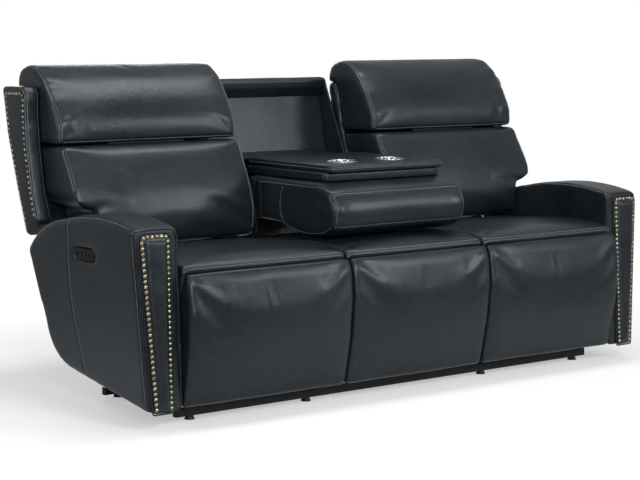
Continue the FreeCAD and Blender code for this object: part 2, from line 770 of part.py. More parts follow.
def console():
    """The fold-down console: padded body, tray, cup holders, its arms and their brackets."""
    width = size("middle_width") - 2 * size("console_side_gap")
    outline = [(131, 712), (84, 690), (54, 622), (68, 566), (120, 540), (228, 529), (372, 562), (556, 566),
               (562, 712)]
    shape = cushion_shape(outline, [16, 30, 60, 34, 40, 200, 60, 8, 10], width, 12.0)
    cups = []
    top = size("tray_height") + 2 * size("tray_layer")
    for side in (-1, 1):
        hole = Part.makeCylinder(size("cup_radius") + size("cup_wall") + size("cup_clearance"), 200,
                                 Vector(side * size("cup_spacing") / 2, size("cup_y"), top - size("cup_depth")
                                        - size("cup_clearance")))
        shape = shape.cut(hole)
    finish(shaped("console_body", shape))

    tray = new_body("console_tray")
    front, rear = size("tray_front"), size("tray_rear")
    half = size("tray_width") / 2
    lower_top = size("tray_height") + size("tray_layer")
    base = [(-half, front + 25), (half, front + 25), (half, rear), (-half, rear)]
    lid = [(-half + 7, front), (half - 7, front), (half - 7, rear), (-half + 7, rear)]
    bottom = 713.0
    pad(tray, rounded(base, [24, 24, 6, 6]), bottom, lower_top - bottom, "XY_Plane")
    pad(tray, rounded(lid, [22, 22, 6, 6]), lower_top, "Sizes.tray_layer", "XY_Plane")
    lid_top = lower_top + size("tray_layer")
    chamfer_edges(tray, size("tray_chamfer"), lambda edge: abs(edge.BoundBox.ZMin - lid_top) < 0.01)
    bore = size("cup_radius") + size("cup_wall") + size("cup_clearance")
    for side in (-1, 1):
        hole = circle(side * size("cup_spacing") / 2, size("cup_y"), bore)
        pocket(tray, hole, bottom, 2 * size("tray_layer") + 20, "XY_Plane")
    finish(tray)

    for side in (-1, 1):
        cup = new_body("cup")
        radius = size("cup_radius")
        wall = size("cup_wall")
        deep = size("cup_depth")
        lip = size("cup_lip")
        flange = radius + wall + size("cup_flange")
        profile = [(0, -deep), (radius + wall, -deep), (radius + wall, 0), (flange, 0), (flange - 4, lip),
                   (radius, lip), (radius, -deep + wall), (0, -deep + wall)]
        lines = []
        for index, point in enumerate(profile):
            after = profile[(index + 1) % len(profile)]
            lines.append(Part.LineSegment(Vector(point[0], point[1], 0), Vector(after[0], after[1], 0)))
        sketch = sketch_on(cup, lines, 0, "XZ_Plane")
        turn = cup.newObject("PartDesign::Revolution", "cup_turn")
        turn.Profile = sketch
        turn.ReferenceAxis = (sketch, ["V_Axis"])
        turn.Angle = 360
        doc.recompute()
        cup.Placement = Placement(
            Vector(side * size("cup_spacing") / 2, size("arm_front_y") + size("cup_y"), top), Rotation())
        cups.append(cup)
    group("cup_holders", cups)

    pivot = (size("console_pivot_y"), size("console_pivot_z"))
    swing = [(470, 570), (560, 545), (600, 548), (602, 590), (566, 700), (480, 700)]
    fixed = [(474, 520), (486, 514), (640, 514), (700, 640), (690, 660), (560, 640), (500, 706), (478, 706),
             (498, 657), (496, 610)]
    arms_pair = []
    brackets = []
    arm_thick = size("console_arm_thickness")
    bracket_thick = size("console_bracket_thickness")
    bracket_near = middle_half - 1
    for side in (-1, 1):
        arm = new_body("console_arm")
        near = width / 2 + 0.3
        low = near if side > 0 else -near - arm_thick
        pad(arm, rounded(swing, [16, 20, 18, 20, 16, 16]), low, "Sizes.console_arm_thickness")
        pin_low = near if side > 0 else -(bracket_near + bracket_thick)
        pad(arm, circle(pivot[0], pivot[1], size("console_pin_radius")), pin_low, bracket_near + bracket_thick - near)
        place_member(arm)
        arms_pair.append(arm)
        bracket = new_body("console_bracket")
        low = bracket_near if side > 0 else -bracket_near - bracket_thick
        pad(bracket, rounded(fixed, [5, 5, 20, 14, 10, 30, 10, 8, 10, 10]), low, "Sizes.console_bracket_thickness")
        hole = circle(pivot[0], pivot[1], size("console_pin_radius") + size("pin_clearance"))
        pocket(bracket, hole, low, "Sizes.console_bracket_thickness")
        place_member(bracket)
        brackets.append(bracket)
    group("console_arms", arms_pair)
    group("console_brackets", brackets)


rails()
for NAME, SIDE in SIDES:
    side_plates(NAME, SIDE)
    seat_lift(NAME, SIDE)
    footrest(NAME, SIDE)
    backs(NAME, SIDE)
seats()
arms()
controls()
arm_front_panels()
middle_back()
valance()
drives()
console()

doc.recompute()
for item in doc.Objects:
    if "Invalid" in item.State or "Error" in item.State:
        raise ValueError("%s failed" % item.Label)
for piece in finished:
    if piece.Shape.isNull() or not piece.Shape.isValid() or not piece.Shape.Solids:
        raise ValueError("%s has no valid solid" % piece.Label)

os.makedirs("parts", exist_ok=True)
for piece in finished:
    piece.Shape.exportStep("parts/%s.step" % piece.Label)
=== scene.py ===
"""Upholstery and finishes of the reclining sofa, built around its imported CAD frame.

Places are written in millimetres as (x, y, z): x runs to the sofa's right, y back from the
plane of the arm fronts, z up from the floor.  spot() turns them into the frame's metres.
"""
import json
import math

import bmesh
import bpy
import numpy as np
from mathutils import Matrix, Vector, noise
from mathutils.bvhtree import BVHTree
from mathutils.kdtree import KDTree


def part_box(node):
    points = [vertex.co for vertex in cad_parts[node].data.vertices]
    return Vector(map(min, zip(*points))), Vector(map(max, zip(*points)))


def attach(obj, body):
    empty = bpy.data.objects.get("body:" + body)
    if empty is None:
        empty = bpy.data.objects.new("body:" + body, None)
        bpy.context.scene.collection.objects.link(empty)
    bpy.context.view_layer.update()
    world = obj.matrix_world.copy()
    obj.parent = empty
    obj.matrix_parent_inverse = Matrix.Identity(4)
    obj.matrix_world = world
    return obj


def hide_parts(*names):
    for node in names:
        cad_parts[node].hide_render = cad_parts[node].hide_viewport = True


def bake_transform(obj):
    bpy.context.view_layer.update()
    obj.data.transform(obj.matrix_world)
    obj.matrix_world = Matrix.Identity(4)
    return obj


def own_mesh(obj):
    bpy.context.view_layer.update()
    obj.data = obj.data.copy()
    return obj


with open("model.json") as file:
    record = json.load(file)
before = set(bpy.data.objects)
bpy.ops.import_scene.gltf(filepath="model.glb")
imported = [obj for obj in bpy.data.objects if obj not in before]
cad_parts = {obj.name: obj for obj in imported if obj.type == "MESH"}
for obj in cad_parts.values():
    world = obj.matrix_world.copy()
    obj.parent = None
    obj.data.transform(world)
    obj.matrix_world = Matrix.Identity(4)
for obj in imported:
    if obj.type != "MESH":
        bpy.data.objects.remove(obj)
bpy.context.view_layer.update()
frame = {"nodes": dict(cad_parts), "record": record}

MM = 0.001
FRONT_RAIL_Y = 66.0
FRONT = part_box("front_rail")[0].y - FRONT_RAIL_Y * MM
SIDES = (("left", -1), ("right", 1))

MIDDLE_HALF = 302.0
SEAT_OUTER = 940.0
SEAM_GAP = 2.0
BACK_INNER = 305.0
WING_INNER = 1020.0
DECK_TOP = 395.3
ARM_WIDTH = 160.0
ARM_TAPER = 35.0
ARM_TOP = 645.0
MIRRORED_BACKGROUND = 0.25
FLOOR_SINK = 0.0004
PHOTO_WIDE, PHOTO_LENS, SENSOR_WIDE = 640, 1798.58, 36
PHOTO_TURNS = (37.5, 6.791, 0.114)
PHOTO_PLACE = (-3916.1, -4593.8, 1232.5)


def spot(x, y, z):
    """A place in millimetres as a point of the frame."""
    return Vector((x * MM, FRONT + y * MM, z * MM))


# ---------------------------------------------------------------- camera, floor and light

def photographer():
    """The camera at the photograph's place and angle."""
    yaw, pitch, roll = (math.radians(a) for a in PHOTO_TURNS)
    ahead = Vector((math.sin(yaw) * math.cos(pitch), math.cos(yaw) * math.cos(pitch), -math.sin(pitch)))
    right = Vector((math.cos(yaw), -math.sin(yaw), 0))
    up = right.cross(ahead)
    across = right * math.cos(roll) + up * math.sin(roll)
    upward = up * math.cos(roll) - right * math.sin(roll)
    data = bpy.data.cameras.new("photo_camera")
    data.sensor_width = SENSOR_WIDE
    data.lens = PHOTO_LENS * SENSOR_WIDE / PHOTO_WIDE
    data.clip_end = 60
    camera = bpy.data.objects.new("photo_camera", data)
    bpy.context.collection.objects.link(camera)
    turn = Matrix((across, upward, -ahead)).transposed().to_4x4()
    camera.matrix_world = Matrix.Translation(spot(*PHOTO_PLACE)) @ turn
    bpy.context.scene.camera = camera


# name, place and aim in metres, width, height, watts
SOFTBOXES = (
    ("front_right_softbox", (2.5, -3.7, 2.0), (-0.2, 0, 0.7), 0.9, 1.6, 50),
    ("front_centre_softbox", (-0.5, -4.0, 2.7), (-0.6, 0, 0.7), 0.9, 0.9, 56),
    ("front_left_softbox", (-3.0, -4.4, 1.7), (-0.5, 0, 0.6), 0.7, 1.1, 80),
    ("left_softbox", (-4.2, 0.2, 1.8), (-0.9, 0, 0.5), 1.0, 1.2, 25),
    ("overhead_softbox", (0.0, -0.3, 3.4), (0, 0, 0.6), 3.0, 0.7, 50),
    ("rear_softbox", (1.6, 4.4, 2.0), (0, 0, 0.6), 2.2, 1.6, 55),
)


def softbox(name, place, aim, wide, high, power):
    """A rectangular studio lamp that faces a point."""
    data = bpy.data.lights.new(name, "AREA")
    data.shape = "RECTANGLE"
    data.size, data.size_y, data.energy = wide, high, power
    lamp = bpy.data.objects.new(name, data)
    bpy.context.collection.objects.link(lamp)
    lamp.location = place
    lamp.rotation_euler = (Vector(place) - Vector(aim)).to_track_quat("Z", "Y").to_euler()


def studio():
    """A pale floor, a white surround and soft lamps."""
    bm = bmesh.new()
    bmesh.ops.create_grid(bm, x_segments=1, y_segments=1, size=14)
    floor = made("studio_floor", bm)
    floor.location.z = -FLOOR_SINK
    floor.data.materials.append(floor_finish())
    world = bpy.data.worlds.new("studio_surround")
    bpy.context.scene.world = world
    world.use_nodes = True
    nodes = Nodes(world.node_tree)
    world.node_tree.nodes.clear()
    out = nodes.add("ShaderNodeOutputWorld")
    seen = nodes.add("ShaderNodeBackground")
    seen.inputs["Color"].default_value = (1, 1, 1, 1)
    lit = nodes.add("ShaderNodeBackground")
    lit.inputs["Color"].default_value = (0.92, 0.97, 1, 1)
    lit.inputs["Strength"].default_value = 0.23
    mix = nodes.add("ShaderNodeMixShader")
    nodes.link(seen_share(nodes), mix.inputs[0])
    nodes.link(lit.outputs[0], mix.inputs[1])
    nodes.link(seen.outputs[0], mix.inputs[2])
    nodes.link(mix.outputs[0], out.inputs["Surface"])
    for lamp in SOFTBOXES:
        softbox(*lamp)
    bpy.context.scene.view_settings.view_transform = "Standard"


def seen_share(nodes):
    """1 for rays from the camera, through glass, and in part for mirrored ones."""
    paths = nodes.add("ShaderNodeLightPath").outputs
    mirrored_share = nodes.maths("MULTIPLY", paths["Is Glossy Ray"], MIRRORED_BACKGROUND)
    clear = nodes.maths("MAXIMUM", paths["Is Camera Ray"], paths["Is Transmission Ray"])
    return nodes.maths("MAXIMUM", clear, mirrored_share)


# ---------------------------------------------------------------- shaping tools

def made(name, bm):
    """An object at the origin from a bmesh, smooth shaded."""
    mesh = bpy.data.meshes.new(name)
    bm.to_mesh(mesh)
    bm.free()
    mesh.shade_smooth()
    piece = bpy.data.objects.new(name, mesh)
    bpy.context.collection.objects.link(piece)
    return piece


def rounded(points, radii, steps=5):
    """A closed (y, z) outline whose corners are arcs of the given radii."""
    outline = []
    for index, corner in enumerate(points):
        here = Vector(corner)
        before = Vector(points[index - 1]) - here
        after = Vector(points[(index + 1) % len(points)]) - here
        room = 0.46 * min(before.length, after.length)
        before.normalize()
        after.normalize()
        half = before.angle(after) / 2
        run = min(radii[index] / math.tan(half), room)
        bend = run * math.tan(half)
        centre = here + (before + after).normalized() * (bend / math.sin(half))
        start, end = here + before * run - centre, here + after * run - centre
        turn = start.angle_signed(end)
        for step in range(steps + 1):
            part = start.copy()
            part.rotate(Matrix.Rotation(-turn * step / steps, 2))
            outline.append(tuple(centre + part))
    return outline


def arc_through(first, middle, last, steps):
    """(y, z) points on the circle through three points, the last one left out."""
    a, b, c = Vector(first), Vector(middle), Vector(last)
    ab, ac = b - a, c - a
    twice = 2 * (ab.x * ac.y - ab.y * ac.x)
    centre = a + Vector((ac.y * ab.length_squared - ab.y * ac.length_squared,
                         ab.x * ac.length_squared - ac.x * ab.length_squared)) / twice
    start = a - centre
    turn = start.angle_signed(b - centre) + (b - centre).angle_signed(c - centre)
    points = []
    for step in range(steps):
        part = start.copy()
        part.rotate(Matrix.Rotation(-turn * step / steps, 2))
        points.append(tuple(centre + part))
    return points


def lofted(outline, stations, anchor=None, rise=1.0):
    """A closed form along x: the outline at each (x, inset), drawn in by its inset.

    It draws in towards the anchor, a (y, z) place, and upwards by only a share, the rise.
    """
    ys = [y for y, z in outline]
    zs = [z for y, z in outline]
    mid = anchor or ((min(ys) + max(ys)) / 2, (min(zs) + max(zs)) / 2)
    half = (max(abs(y - mid[0]) for y in ys), max(abs(z - mid[1]) for z in zs) / max(rise, 0.01))
    bm = bmesh.new()
    at, inset = stations[0]
    shrink = [1 - inset / h for h in half]
    ring = [bm.verts.new(spot(at, mid[0] + (y - mid[0]) * shrink[0], mid[1] + (z - mid[1]) * shrink[1]))
            for y, z in outline]
    faces = [bm.faces.new(ring)]
    about = Matrix.Translation(-spot(0, *mid))
    for across, inset in stations[1:]:
        grown = bmesh.ops.extrude_face_region(bm, geom=faces)
        verts = [item for item in grown["geom"] if isinstance(item, bmesh.types.BMVert)]
        faces = [item for item in grown["geom"] if isinstance(item, bmesh.types.BMFace)]
        bmesh.ops.translate(bm, verts=verts, vec=((across - at) * MM, 0, 0))
        target = [1 - inset / h for h in half]
        grow = (1, target[0] / shrink[0], target[1] / shrink[1])
        bmesh.ops.scale(bm, verts=verts, vec=grow, space=about)
        at, shrink = across, target
    inner = [face for face in bm.faces if len(face.verts) == len(ring)]
    middles = [face for face in inner if stations[0][0] * MM + 1e-6 < face.calc_center_median().x
               < stations[-1][0] * MM - 1e-6]
    bmesh.ops.delete(bm, geom=middles, context="FACES_ONLY")
    bmesh.ops.recalc_face_normals(bm, faces=bm.faces[:])
    return bm


def soft_stations(low, high, draw, shoulder):
    """Stations of a form that rounds over towards both of its ends."""
    return [(low, draw), (low + 0.3 * shoulder, 0.42 * draw), (low + shoulder, 0.1 * draw),
            (low + 2 * shoulder, 0), (high - 2 * shoulder, 0), (high - shoulder, 0.1 * draw),
            (high - 0.3 * shoulder, 0.42 * draw), (high, draw)]


def points_of(mesh):
    """The mesh's points as an array of rows."""
    flat = np.empty(len(mesh.vertices) * 3)
    mesh.vertices.foreach_get("co", flat)
    return flat.reshape(-1, 3)


def put_points(mesh, points):
    """Write an array of rows back as the mesh's points."""
    mesh.vertices.foreach_set("co", points.ravel())
    mesh.update()


def normals_of(mesh):
    """The mesh's point normals as an array of rows."""
    flat = np.empty(len(mesh.vertices) * 3)
    mesh.vertex_normals.foreach_get("vector", flat)
    return flat.reshape(-1, 3)


def in_mm(points):
    """Frame metres as the millimetres that places are written in."""
    return (points - np.array([0, FRONT, 0])) / MM


def with_modifiers(piece):
    """Replace the piece's mesh by what its modifiers make of it."""
    graph = bpy.context.evaluated_depsgraph_get()
    graph.update()
    mesh = bpy.data.meshes.new_from_object(piece.evaluated_get(graph))
    old = piece.data
    piece.modifiers.clear()
    piece.data = mesh
    mesh.name = piece.name
    bpy.data.meshes.remove(old)
    mesh.shade_smooth()


def revoxelled(piece, voxel, rounds=3):
    """Give the piece an even net of small faces, and ease its corners."""
    remesh = piece.modifiers.new("even_net", "REMESH")
    remesh.mode = "VOXEL"
    remesh.voxel_size = voxel * MM
    ease = piece.modifiers.new("ease", "SMOOTH")
    ease.factor = 0.5
    ease.iterations = rounds
    with_modifiers(piece)


def off_runs(points, runs):
    """Each point's distance in the side view from the nearest of some (y, z) runs."""
    best = np.full(len(points), 1e9)
    for run in runs:
        for start, end in zip(run[:-1], run[1:]):
            a, b = np.array(start, float), np.array(end, float)
            along = b - a
            share = np.clip(((points[:, 1:] - a) @ along) / max(along @ along, 1e-9), 0, 1)
            near = a + share[:, None] * along
            best = np.minimum(best, np.linalg.norm(points[:, 1:] - near, axis=1))
    return best


STUFFING_FRAMES = 18
CLOTH = {"quality": 4, "mass": 0.35, "tension_stiffness": 22, "compression_stiffness": 14,
         "shear_stiffness": 10, "bending_stiffness": 5, "tension_damping": 12, "use_pressure": True,
         "vertex_group_mass": "held", "pin_stiffness": 6}
RIM_REACH, RIM_HOLD = 12, 0.85
stuffings = []


def stuff(piece, held, tolerance, ends, pressure, cap, room):
    """Ask for cloth pressure on a piece.

    Points near the held runs and near the seams at both ends stay.  Points then move by no
    more than cap, and stay in room, the least and most x.
    """
    points = in_mm(points_of(piece.data))
    fixed = off_runs(points, held) < tolerance
    group = piece.vertex_groups.new(name="held")
    group.add([int(i) for i in np.flatnonzero(fixed)], 1.0, "REPLACE")
    rims = np.zeros(len(points), bool)
    for x, outline, width in ends:
        rims |= (np.abs(points[:, 0] - x) < width) & (off_runs(points, [outline]) < RIM_REACH)
    loose = rims & ~fixed
    if loose.any():
        group.add([int(i) for i in np.flatnonzero(loose)], RIM_HOLD, "REPLACE")
    stuffings.append((piece, points_of(piece.data), cap, room))
    cloth = piece.modifiers.new("stuffing", "CLOTH")
    for key, value in CLOTH.items():
        setattr(cloth.settings, key, value)
    cloth.settings.uniform_pressure_force = pressure
    cloth.settings.effector_weights.gravity = 0
    cloth.point_cache.frame_start = 1
    cloth.point_cache.frame_end = STUFFING_FRAMES


def run_stuffing():
    """Blow all stuffed pieces up together, then keep their meshes."""
    scene = bpy.context.scene
    scene.frame_start = 1
    scene.frame_end = STUFFING_FRAMES
    for step in range(1, STUFFING_FRAMES + 1):
        scene.frame_set(step)
    for piece, start, cap, room in stuffings:
        with_modifiers(piece)
        points = points_of(piece.data)
        moved = points - start
        length = np.linalg.norm(moved, axis=1)
        allowed = cap * MM * np.tanh(length / (cap * MM))
        points = start + moved * (allowed / np.maximum(length, 1e-9))[:, None]
        if room:
            points[:, 0] = np.clip(points[:, 0], room[0] * MM, room[1] * MM)
        put_points(piece.data, points)
    scene.frame_set(1)


def refined(piece):
    """Ease small folds away and divide the net once."""
    calm = piece.modifiers.new("calm", "SMOOTH")
    calm.factor = 0.5
    calm.iterations = 5
    finer = piece.modifiers.new("finer", "SUBSURF")
    finer.levels = 1
    finer.render_levels = 1
    with_modifiers(piece)


def mirrored(piece, name):
    """The other hand of a piece."""
    bm = bmesh.new()
    bm.from_mesh(piece.data)
    bmesh.ops.scale(bm, vec=(-1, 1, 1), verts=bm.verts[:])
    bmesh.ops.reverse_faces(bm, faces=bm.faces[:])
    return made(name, bm)


def undulate(piece, seed, depth, spread):
    """Slow swells in a leather surface, different on each piece."""
    mesh = piece.data
    points = points_of(mesh)
    lean = normals_of(mesh)
    shift = Vector((seed * 3.1, seed * 1.7, seed * 5.3))
    rise = np.array([noise.noise(Vector(p) / (spread * MM) + shift) for p in points])
    put_points(mesh, points + lean * (rise * depth * MM)[:, None])


def crease(piece, folds):
    """Soft folds along short runs: (start, end, width, depth) with a depth below 0 for a dent."""
    mesh = piece.data
    points = in_mm(points_of(mesh))
    lean = normals_of(mesh)
    rise = np.zeros(len(points))
    for start, end, width, depth in folds:
        a, b = np.array(start, float), np.array(end, float)
        along = b - a
        share = ((points - a) @ along) / (along @ along)
        near = a + np.clip(share, 0, 1)[:, None] * along
        off = np.linalg.norm(points - near, axis=1)
        fade = np.clip(np.sin(math.pi * np.clip(share, 0, 1)), 0, 1) ** 0.7
        rise += depth * np.exp(-(off / width) ** 2) * fade
    put_points(mesh, points_of(mesh) + lean * (rise * MM)[:, None])


# ---------------------------------------------------------------- sewing tools

STITCH_PITCH = 7.0
STITCH_LENGTH = 4.6
THREAD_RADIUS = 0.75
THREAD_LIFT = 0.25
RUN_STEP = 3.0
SEAM_REACH, PUCKER_REACH = 9.0, 60.0


def spaced(points, step):
    """Points along a run at an even step, in frame metres."""
    rows = np.array([tuple(p) for p in points])
    lengths = np.linalg.norm(np.diff(rows, axis=0), axis=1)
    along = np.concatenate([[0], np.cumsum(lengths)])
    count = max(2, int(along[-1] / (step * MM)) + 1)
    marks = np.linspace(0, along[-1], count)
    return np.stack([np.interp(marks, along, rows[:, i]) for i in range(3)], axis=1)


def eased(rows, times):
    """A run with its kinks rounded off, its ends kept."""
    rows = rows.copy()
    for _ in range(times):
        rows[1:-1] = (rows[:-2] + 2 * rows[1:-1] + rows[2:]) / 4
    return rows


def surface_of(piece):
    """A search tree over the piece's surface."""
    bm = bmesh.new()
    bm.from_mesh(piece.data)
    tree = BVHTree.FromBMesh(bm)
    bm.free()
    return tree


def laid(tree, run, step=RUN_STEP, ease=6):
    """A run laid on a surface: its points and the surface's normals there."""
    rows = eased(spaced(run, step), ease)
    places, leans = [], []
    for row in rows:
        place, lean, _, _ = tree.find_nearest(Vector(row))
        places.append(place)
        leans.append(lean)
    places = eased(np.array([tuple(p) for p in places]), 2)
    leans = eased(np.array([tuple(n) for n in leans]), 6)
    leans /= np.linalg.norm(leans, axis=1)[:, None]
    return places, leans


def thin_faces_near(piece, runs, reach):
    """Divide the faces near some runs, so that a seam shows clearly."""
    tree = KDTree(sum(len(run) for run in runs))
    count = 0
    for run in runs:
        for row in run:
            tree.insert(row, count)
            count += 1
    tree.balance()
    bm = bmesh.new()
    bm.from_mesh(piece.data)
    near = [tree.find(v.co)[2] < reach * MM for v in bm.verts]
    edges = [e for e in bm.edges if near[e.verts[0].index] and near[e.verts[1].index]]
    bmesh.ops.subdivide_edges(bm, edges=edges, cuts=1, use_grid_fill=True)
    bmesh.ops.triangulate(bm, faces=[f for f in bm.faces if len(f.verts) > 4])
    bm.to_mesh(piece.data)
    bm.free()
    piece.data.shade_smooth()


def seam(run, depth, width, pucker):
    """A seam along a run of places: how deep and wide it presses, and how much it puckers."""
    return {"run": run, "depth": depth, "width": width, "pucker": pucker}


def doubled(run, aside):
    """Rows of stitches at both sides of a laid run."""
    return [(run, aside), (run, -aside)]


def sew(piece, seams, fine=True):
    """Press seams into a piece, paint shade into their grooves, and return each seam's laid run on the
    pressed surface.
    """
    tree = surface_of(piece)
    runs = [laid(tree, seam["run"]) for seam in seams]
    if fine:
        thin_faces_near(piece, [run[0] for run in runs], SEAM_REACH)
    index = KDTree(sum(len(run[0]) for run in runs))
    facts = []
    for row, (places, leans) in zip(seams, runs):
        for number, place in enumerate(places):
            index.insert(place, len(facts))
            facts.append((row, number * RUN_STEP))
    index.balance()
    mesh = piece.data
    points = points_of(mesh)
    lean = normals_of(mesh)
    rise = np.zeros(len(points))
    shade = np.zeros(len(points))
    for number, point in enumerate(points):
        _, which, off = index.find(point)
        off /= MM
        if off > PUCKER_REACH:
            continue
        row, along = facts[which]
        first = row["run"][0]
        rise[number] = -row["depth"] * math.exp(-(off / row["width"]) ** 2)
        # painted shade: how much the leather's colour darkens in the seam's groove
        shade[number] = math.exp(-(off / (row["width"] * 1.3)) ** 2)
        wave = noise.noise(Vector((along / 17.0, first[0] * 9, 0)))
        wave += 0.5 * noise.noise(Vector((along / 8.0, 7.7, first[2] * 9)))
        rise[number] += row["pucker"] * wave * math.exp(-off / 20.0) * min(1.0, off / 5.0)
    put_points(mesh, points + lean * (rise * MM)[:, None])
    # the painted seam shade is kept as a point attribute for the leather material
    mark = mesh.attributes.get("seam_painted_shade") or mesh.attributes.new("seam_painted_shade", "FLOAT", "POINT")
    mark.data.foreach_set("value", shade)
    tree = surface_of(piece)
    return [laid(tree, [Vector(p) for p in places], ease=0) for places, _ in runs]


def unit_stitch():
    """One stitch lying along x, a few faces only."""
    bm = bmesh.new()
    bmesh.ops.create_cone(bm, cap_ends=True, segments=5, radius1=THREAD_RADIUS * MM,
                          radius2=THREAD_RADIUS * MM, depth=STITCH_LENGTH * 0.62 * MM)
    ends = [f for f in bm.faces if abs(f.normal.z) > 0.9]
    for face in ends:
        tip = bmesh.ops.extrude_face_region(bm, geom=[face])
        verts = [item for item in tip["geom"] if isinstance(item, bmesh.types.BMVert)]
        sign = 1 if verts[0].co.z > 0 else -1
        bmesh.ops.translate(bm, verts=verts, vec=(0, 0, sign * STITCH_LENGTH * 0.19 * MM))
        middle = sum((v.co for v in verts), Vector()) / len(verts)
        bmesh.ops.scale(bm, verts=verts, vec=(0.45, 0.45, 1), space=Matrix.Translation(-middle))
        bmesh.ops.delete(bm, geom=[face], context="FACES_ONLY")
    bmesh.ops.rotate(bm, verts=bm.verts[:], cent=(0, 0, 0), matrix=Matrix.Rotation(math.pi / 2, 3, "Y"))
    bmesh.ops.recalc_face_normals(bm, faces=bm.faces[:])
    mesh = bpy.data.meshes.new("unit_stitch")
    bm.to_mesh(mesh)
    bm.free()
    return mesh


def placed_copies(name, unit, places):
    """One piece made of a copy of the unit at every place."""
    bm = bmesh.new()
    for place in places:
        unit.transform(place)
        bm.from_mesh(unit)
        unit.transform(place.inverted())
    return made(name, bm)


def frame_at(place, along, up):
    """A place matrix whose x runs along and whose z points up from the surface."""
    along = along.normalized()
    side = up.cross(along).normalized()
    up = along.cross(side).normalized()
    turn = Matrix((along, side, up)).transposed().to_4x4()
    return Matrix.Translation(place) @ turn


def stitch_places(tree, run, aside):
    """Where stitches lie, aside mm to one side of a laid run."""
    places, leans = run
    along = np.gradient(places, axis=0)
    side = np.cross(leans, along)
    side /= np.maximum(np.linalg.norm(side, axis=1), 1e-9)[:, None]
    rows = places + side * aside * MM
    marks = spaced([Vector(r) for r in rows], STITCH_PITCH)
    found = []
    for start, end in zip(marks[:-1], marks[1:]):
        middle = Vector((start + end) / 2)
        place, lean, _, _ = tree.find_nearest(middle)
        found.append(frame_at(place + lean * (THREAD_LIFT * MM), Vector(end - start), lean))
    return found


def stitched(name, piece, rows, body, finish):
    """Thread along laid runs of a piece: rows holds (run, aside) pairs."""
    tree = surface_of(piece)
    unit = unit_stitch()
    places = []
    for run, aside in rows:
        places += stitch_places(tree, run, aside)
    thread = placed_copies(name, unit, places)
    bpy.data.meshes.remove(unit)
    dress(thread, finish, body)
    return thread


def tube(name, rows, radius, closed=False):
    """A welt: a smooth round cord of leather along a run."""
    data = bpy.data.curves.new(name, "CURVE")
    data.dimensions = "3D"
    data.bevel_depth = radius * MM
    data.bevel_resolution = 2
    data.use_fill_caps = not closed
    spline = data.splines.new("POLY")
    spline.points.add(len(rows) - 1)
    for point, row in zip(spline.points, rows):
        point.co = (*row, 1)
    spline.use_cyclic_u = closed
    holder = bpy.data.objects.new(name, data)
    bpy.context.collection.objects.link(holder)
    graph = bpy.context.evaluated_depsgraph_get()
    graph.update()
    mesh = bpy.data.meshes.new_from_object(holder.evaluated_get(graph))
    bpy.data.objects.remove(holder)
    bpy.data.curves.remove(data)
    mesh.name = name
    mesh.shade_smooth()
    piece = bpy.data.objects.new(name, mesh)
    bpy.context.collection.objects.link(piece)
    return piece


def dress(piece, finish, body):
    """Give a piece its one material and the body it moves with."""
    piece.data.materials.clear()
    piece.data.materials.append(finish)
    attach(piece, body)
    return piece


# ---------------------------------------------------------------- finishes

class Nodes:
    """A short hand for building a node tree."""

    def __init__(self, tree):
        self.tree = tree

    def add(self, kind, **values):
        node = self.tree.nodes.new(kind)
        for key, value in values.items():
            setattr(node, key, value)
        return node

    def link(self, start, end):
        self.tree.links.new(start, end)

    def maths(self, operation, first, second):
        node = self.add("ShaderNodeMath", operation=operation)
        for socket, value in zip(node.inputs, (first, second)):
            if isinstance(value, (int, float)):
                socket.default_value = value
            else:
                self.link(value, socket)
        return node.outputs[0]

    def noise(self, vector, scale, detail=2.0, rough=0.5):
        node = self.add("ShaderNodeTexNoise")
        node.inputs["Detail"].default_value = detail
        node.inputs["Roughness"].default_value = rough
        self.link(vector, node.inputs["Vector"])
        if isinstance(scale, (int, float)):
            node.inputs["Scale"].default_value = scale
        else:
            self.link(scale, node.inputs["Scale"])
        return node.outputs["Fac"]

    def remap(self, value, low, high, start=0.0, end=1.0):
        node = self.add("ShaderNodeMapRange")
        node.inputs["From Min"].default_value = start
        node.inputs["From Max"].default_value = end
        node.inputs["To Min"].default_value = low
        node.inputs["To Max"].default_value = high
        self.link(value, node.inputs["Value"])
        return node.outputs["Result"]

    def blend(self, share, first, second):
        node = self.add("ShaderNodeMix", data_type="RGBA")
        if isinstance(share, (int, float)):
            node.inputs[0].default_value = share
        else:
            self.link(share, node.inputs[0])
        for socket, value in ((node.inputs[6], first), (node.inputs[7], second)):
            if isinstance(value, tuple):
                socket.default_value = (*value, 1)
            else:
                self.link(value, socket)
        return node.outputs[2]


def effect(name, takes, gives):
    """An empty node group with named sockets."""
    tree = bpy.data.node_groups.new(name, "ShaderNodeTree")
    for label, kind, value in takes:
        socket = tree.interface.new_socket(name=label, in_out="INPUT", socket_type=kind)
        if value is not None:
            socket.default_value = value
    for label, kind in gives:
        tree.interface.new_socket(name=label, in_out="OUTPUT", socket_type=kind)
    nodes = Nodes(tree)
    return nodes, nodes.add("NodeGroupInput").outputs, nodes.add("NodeGroupOutput").inputs


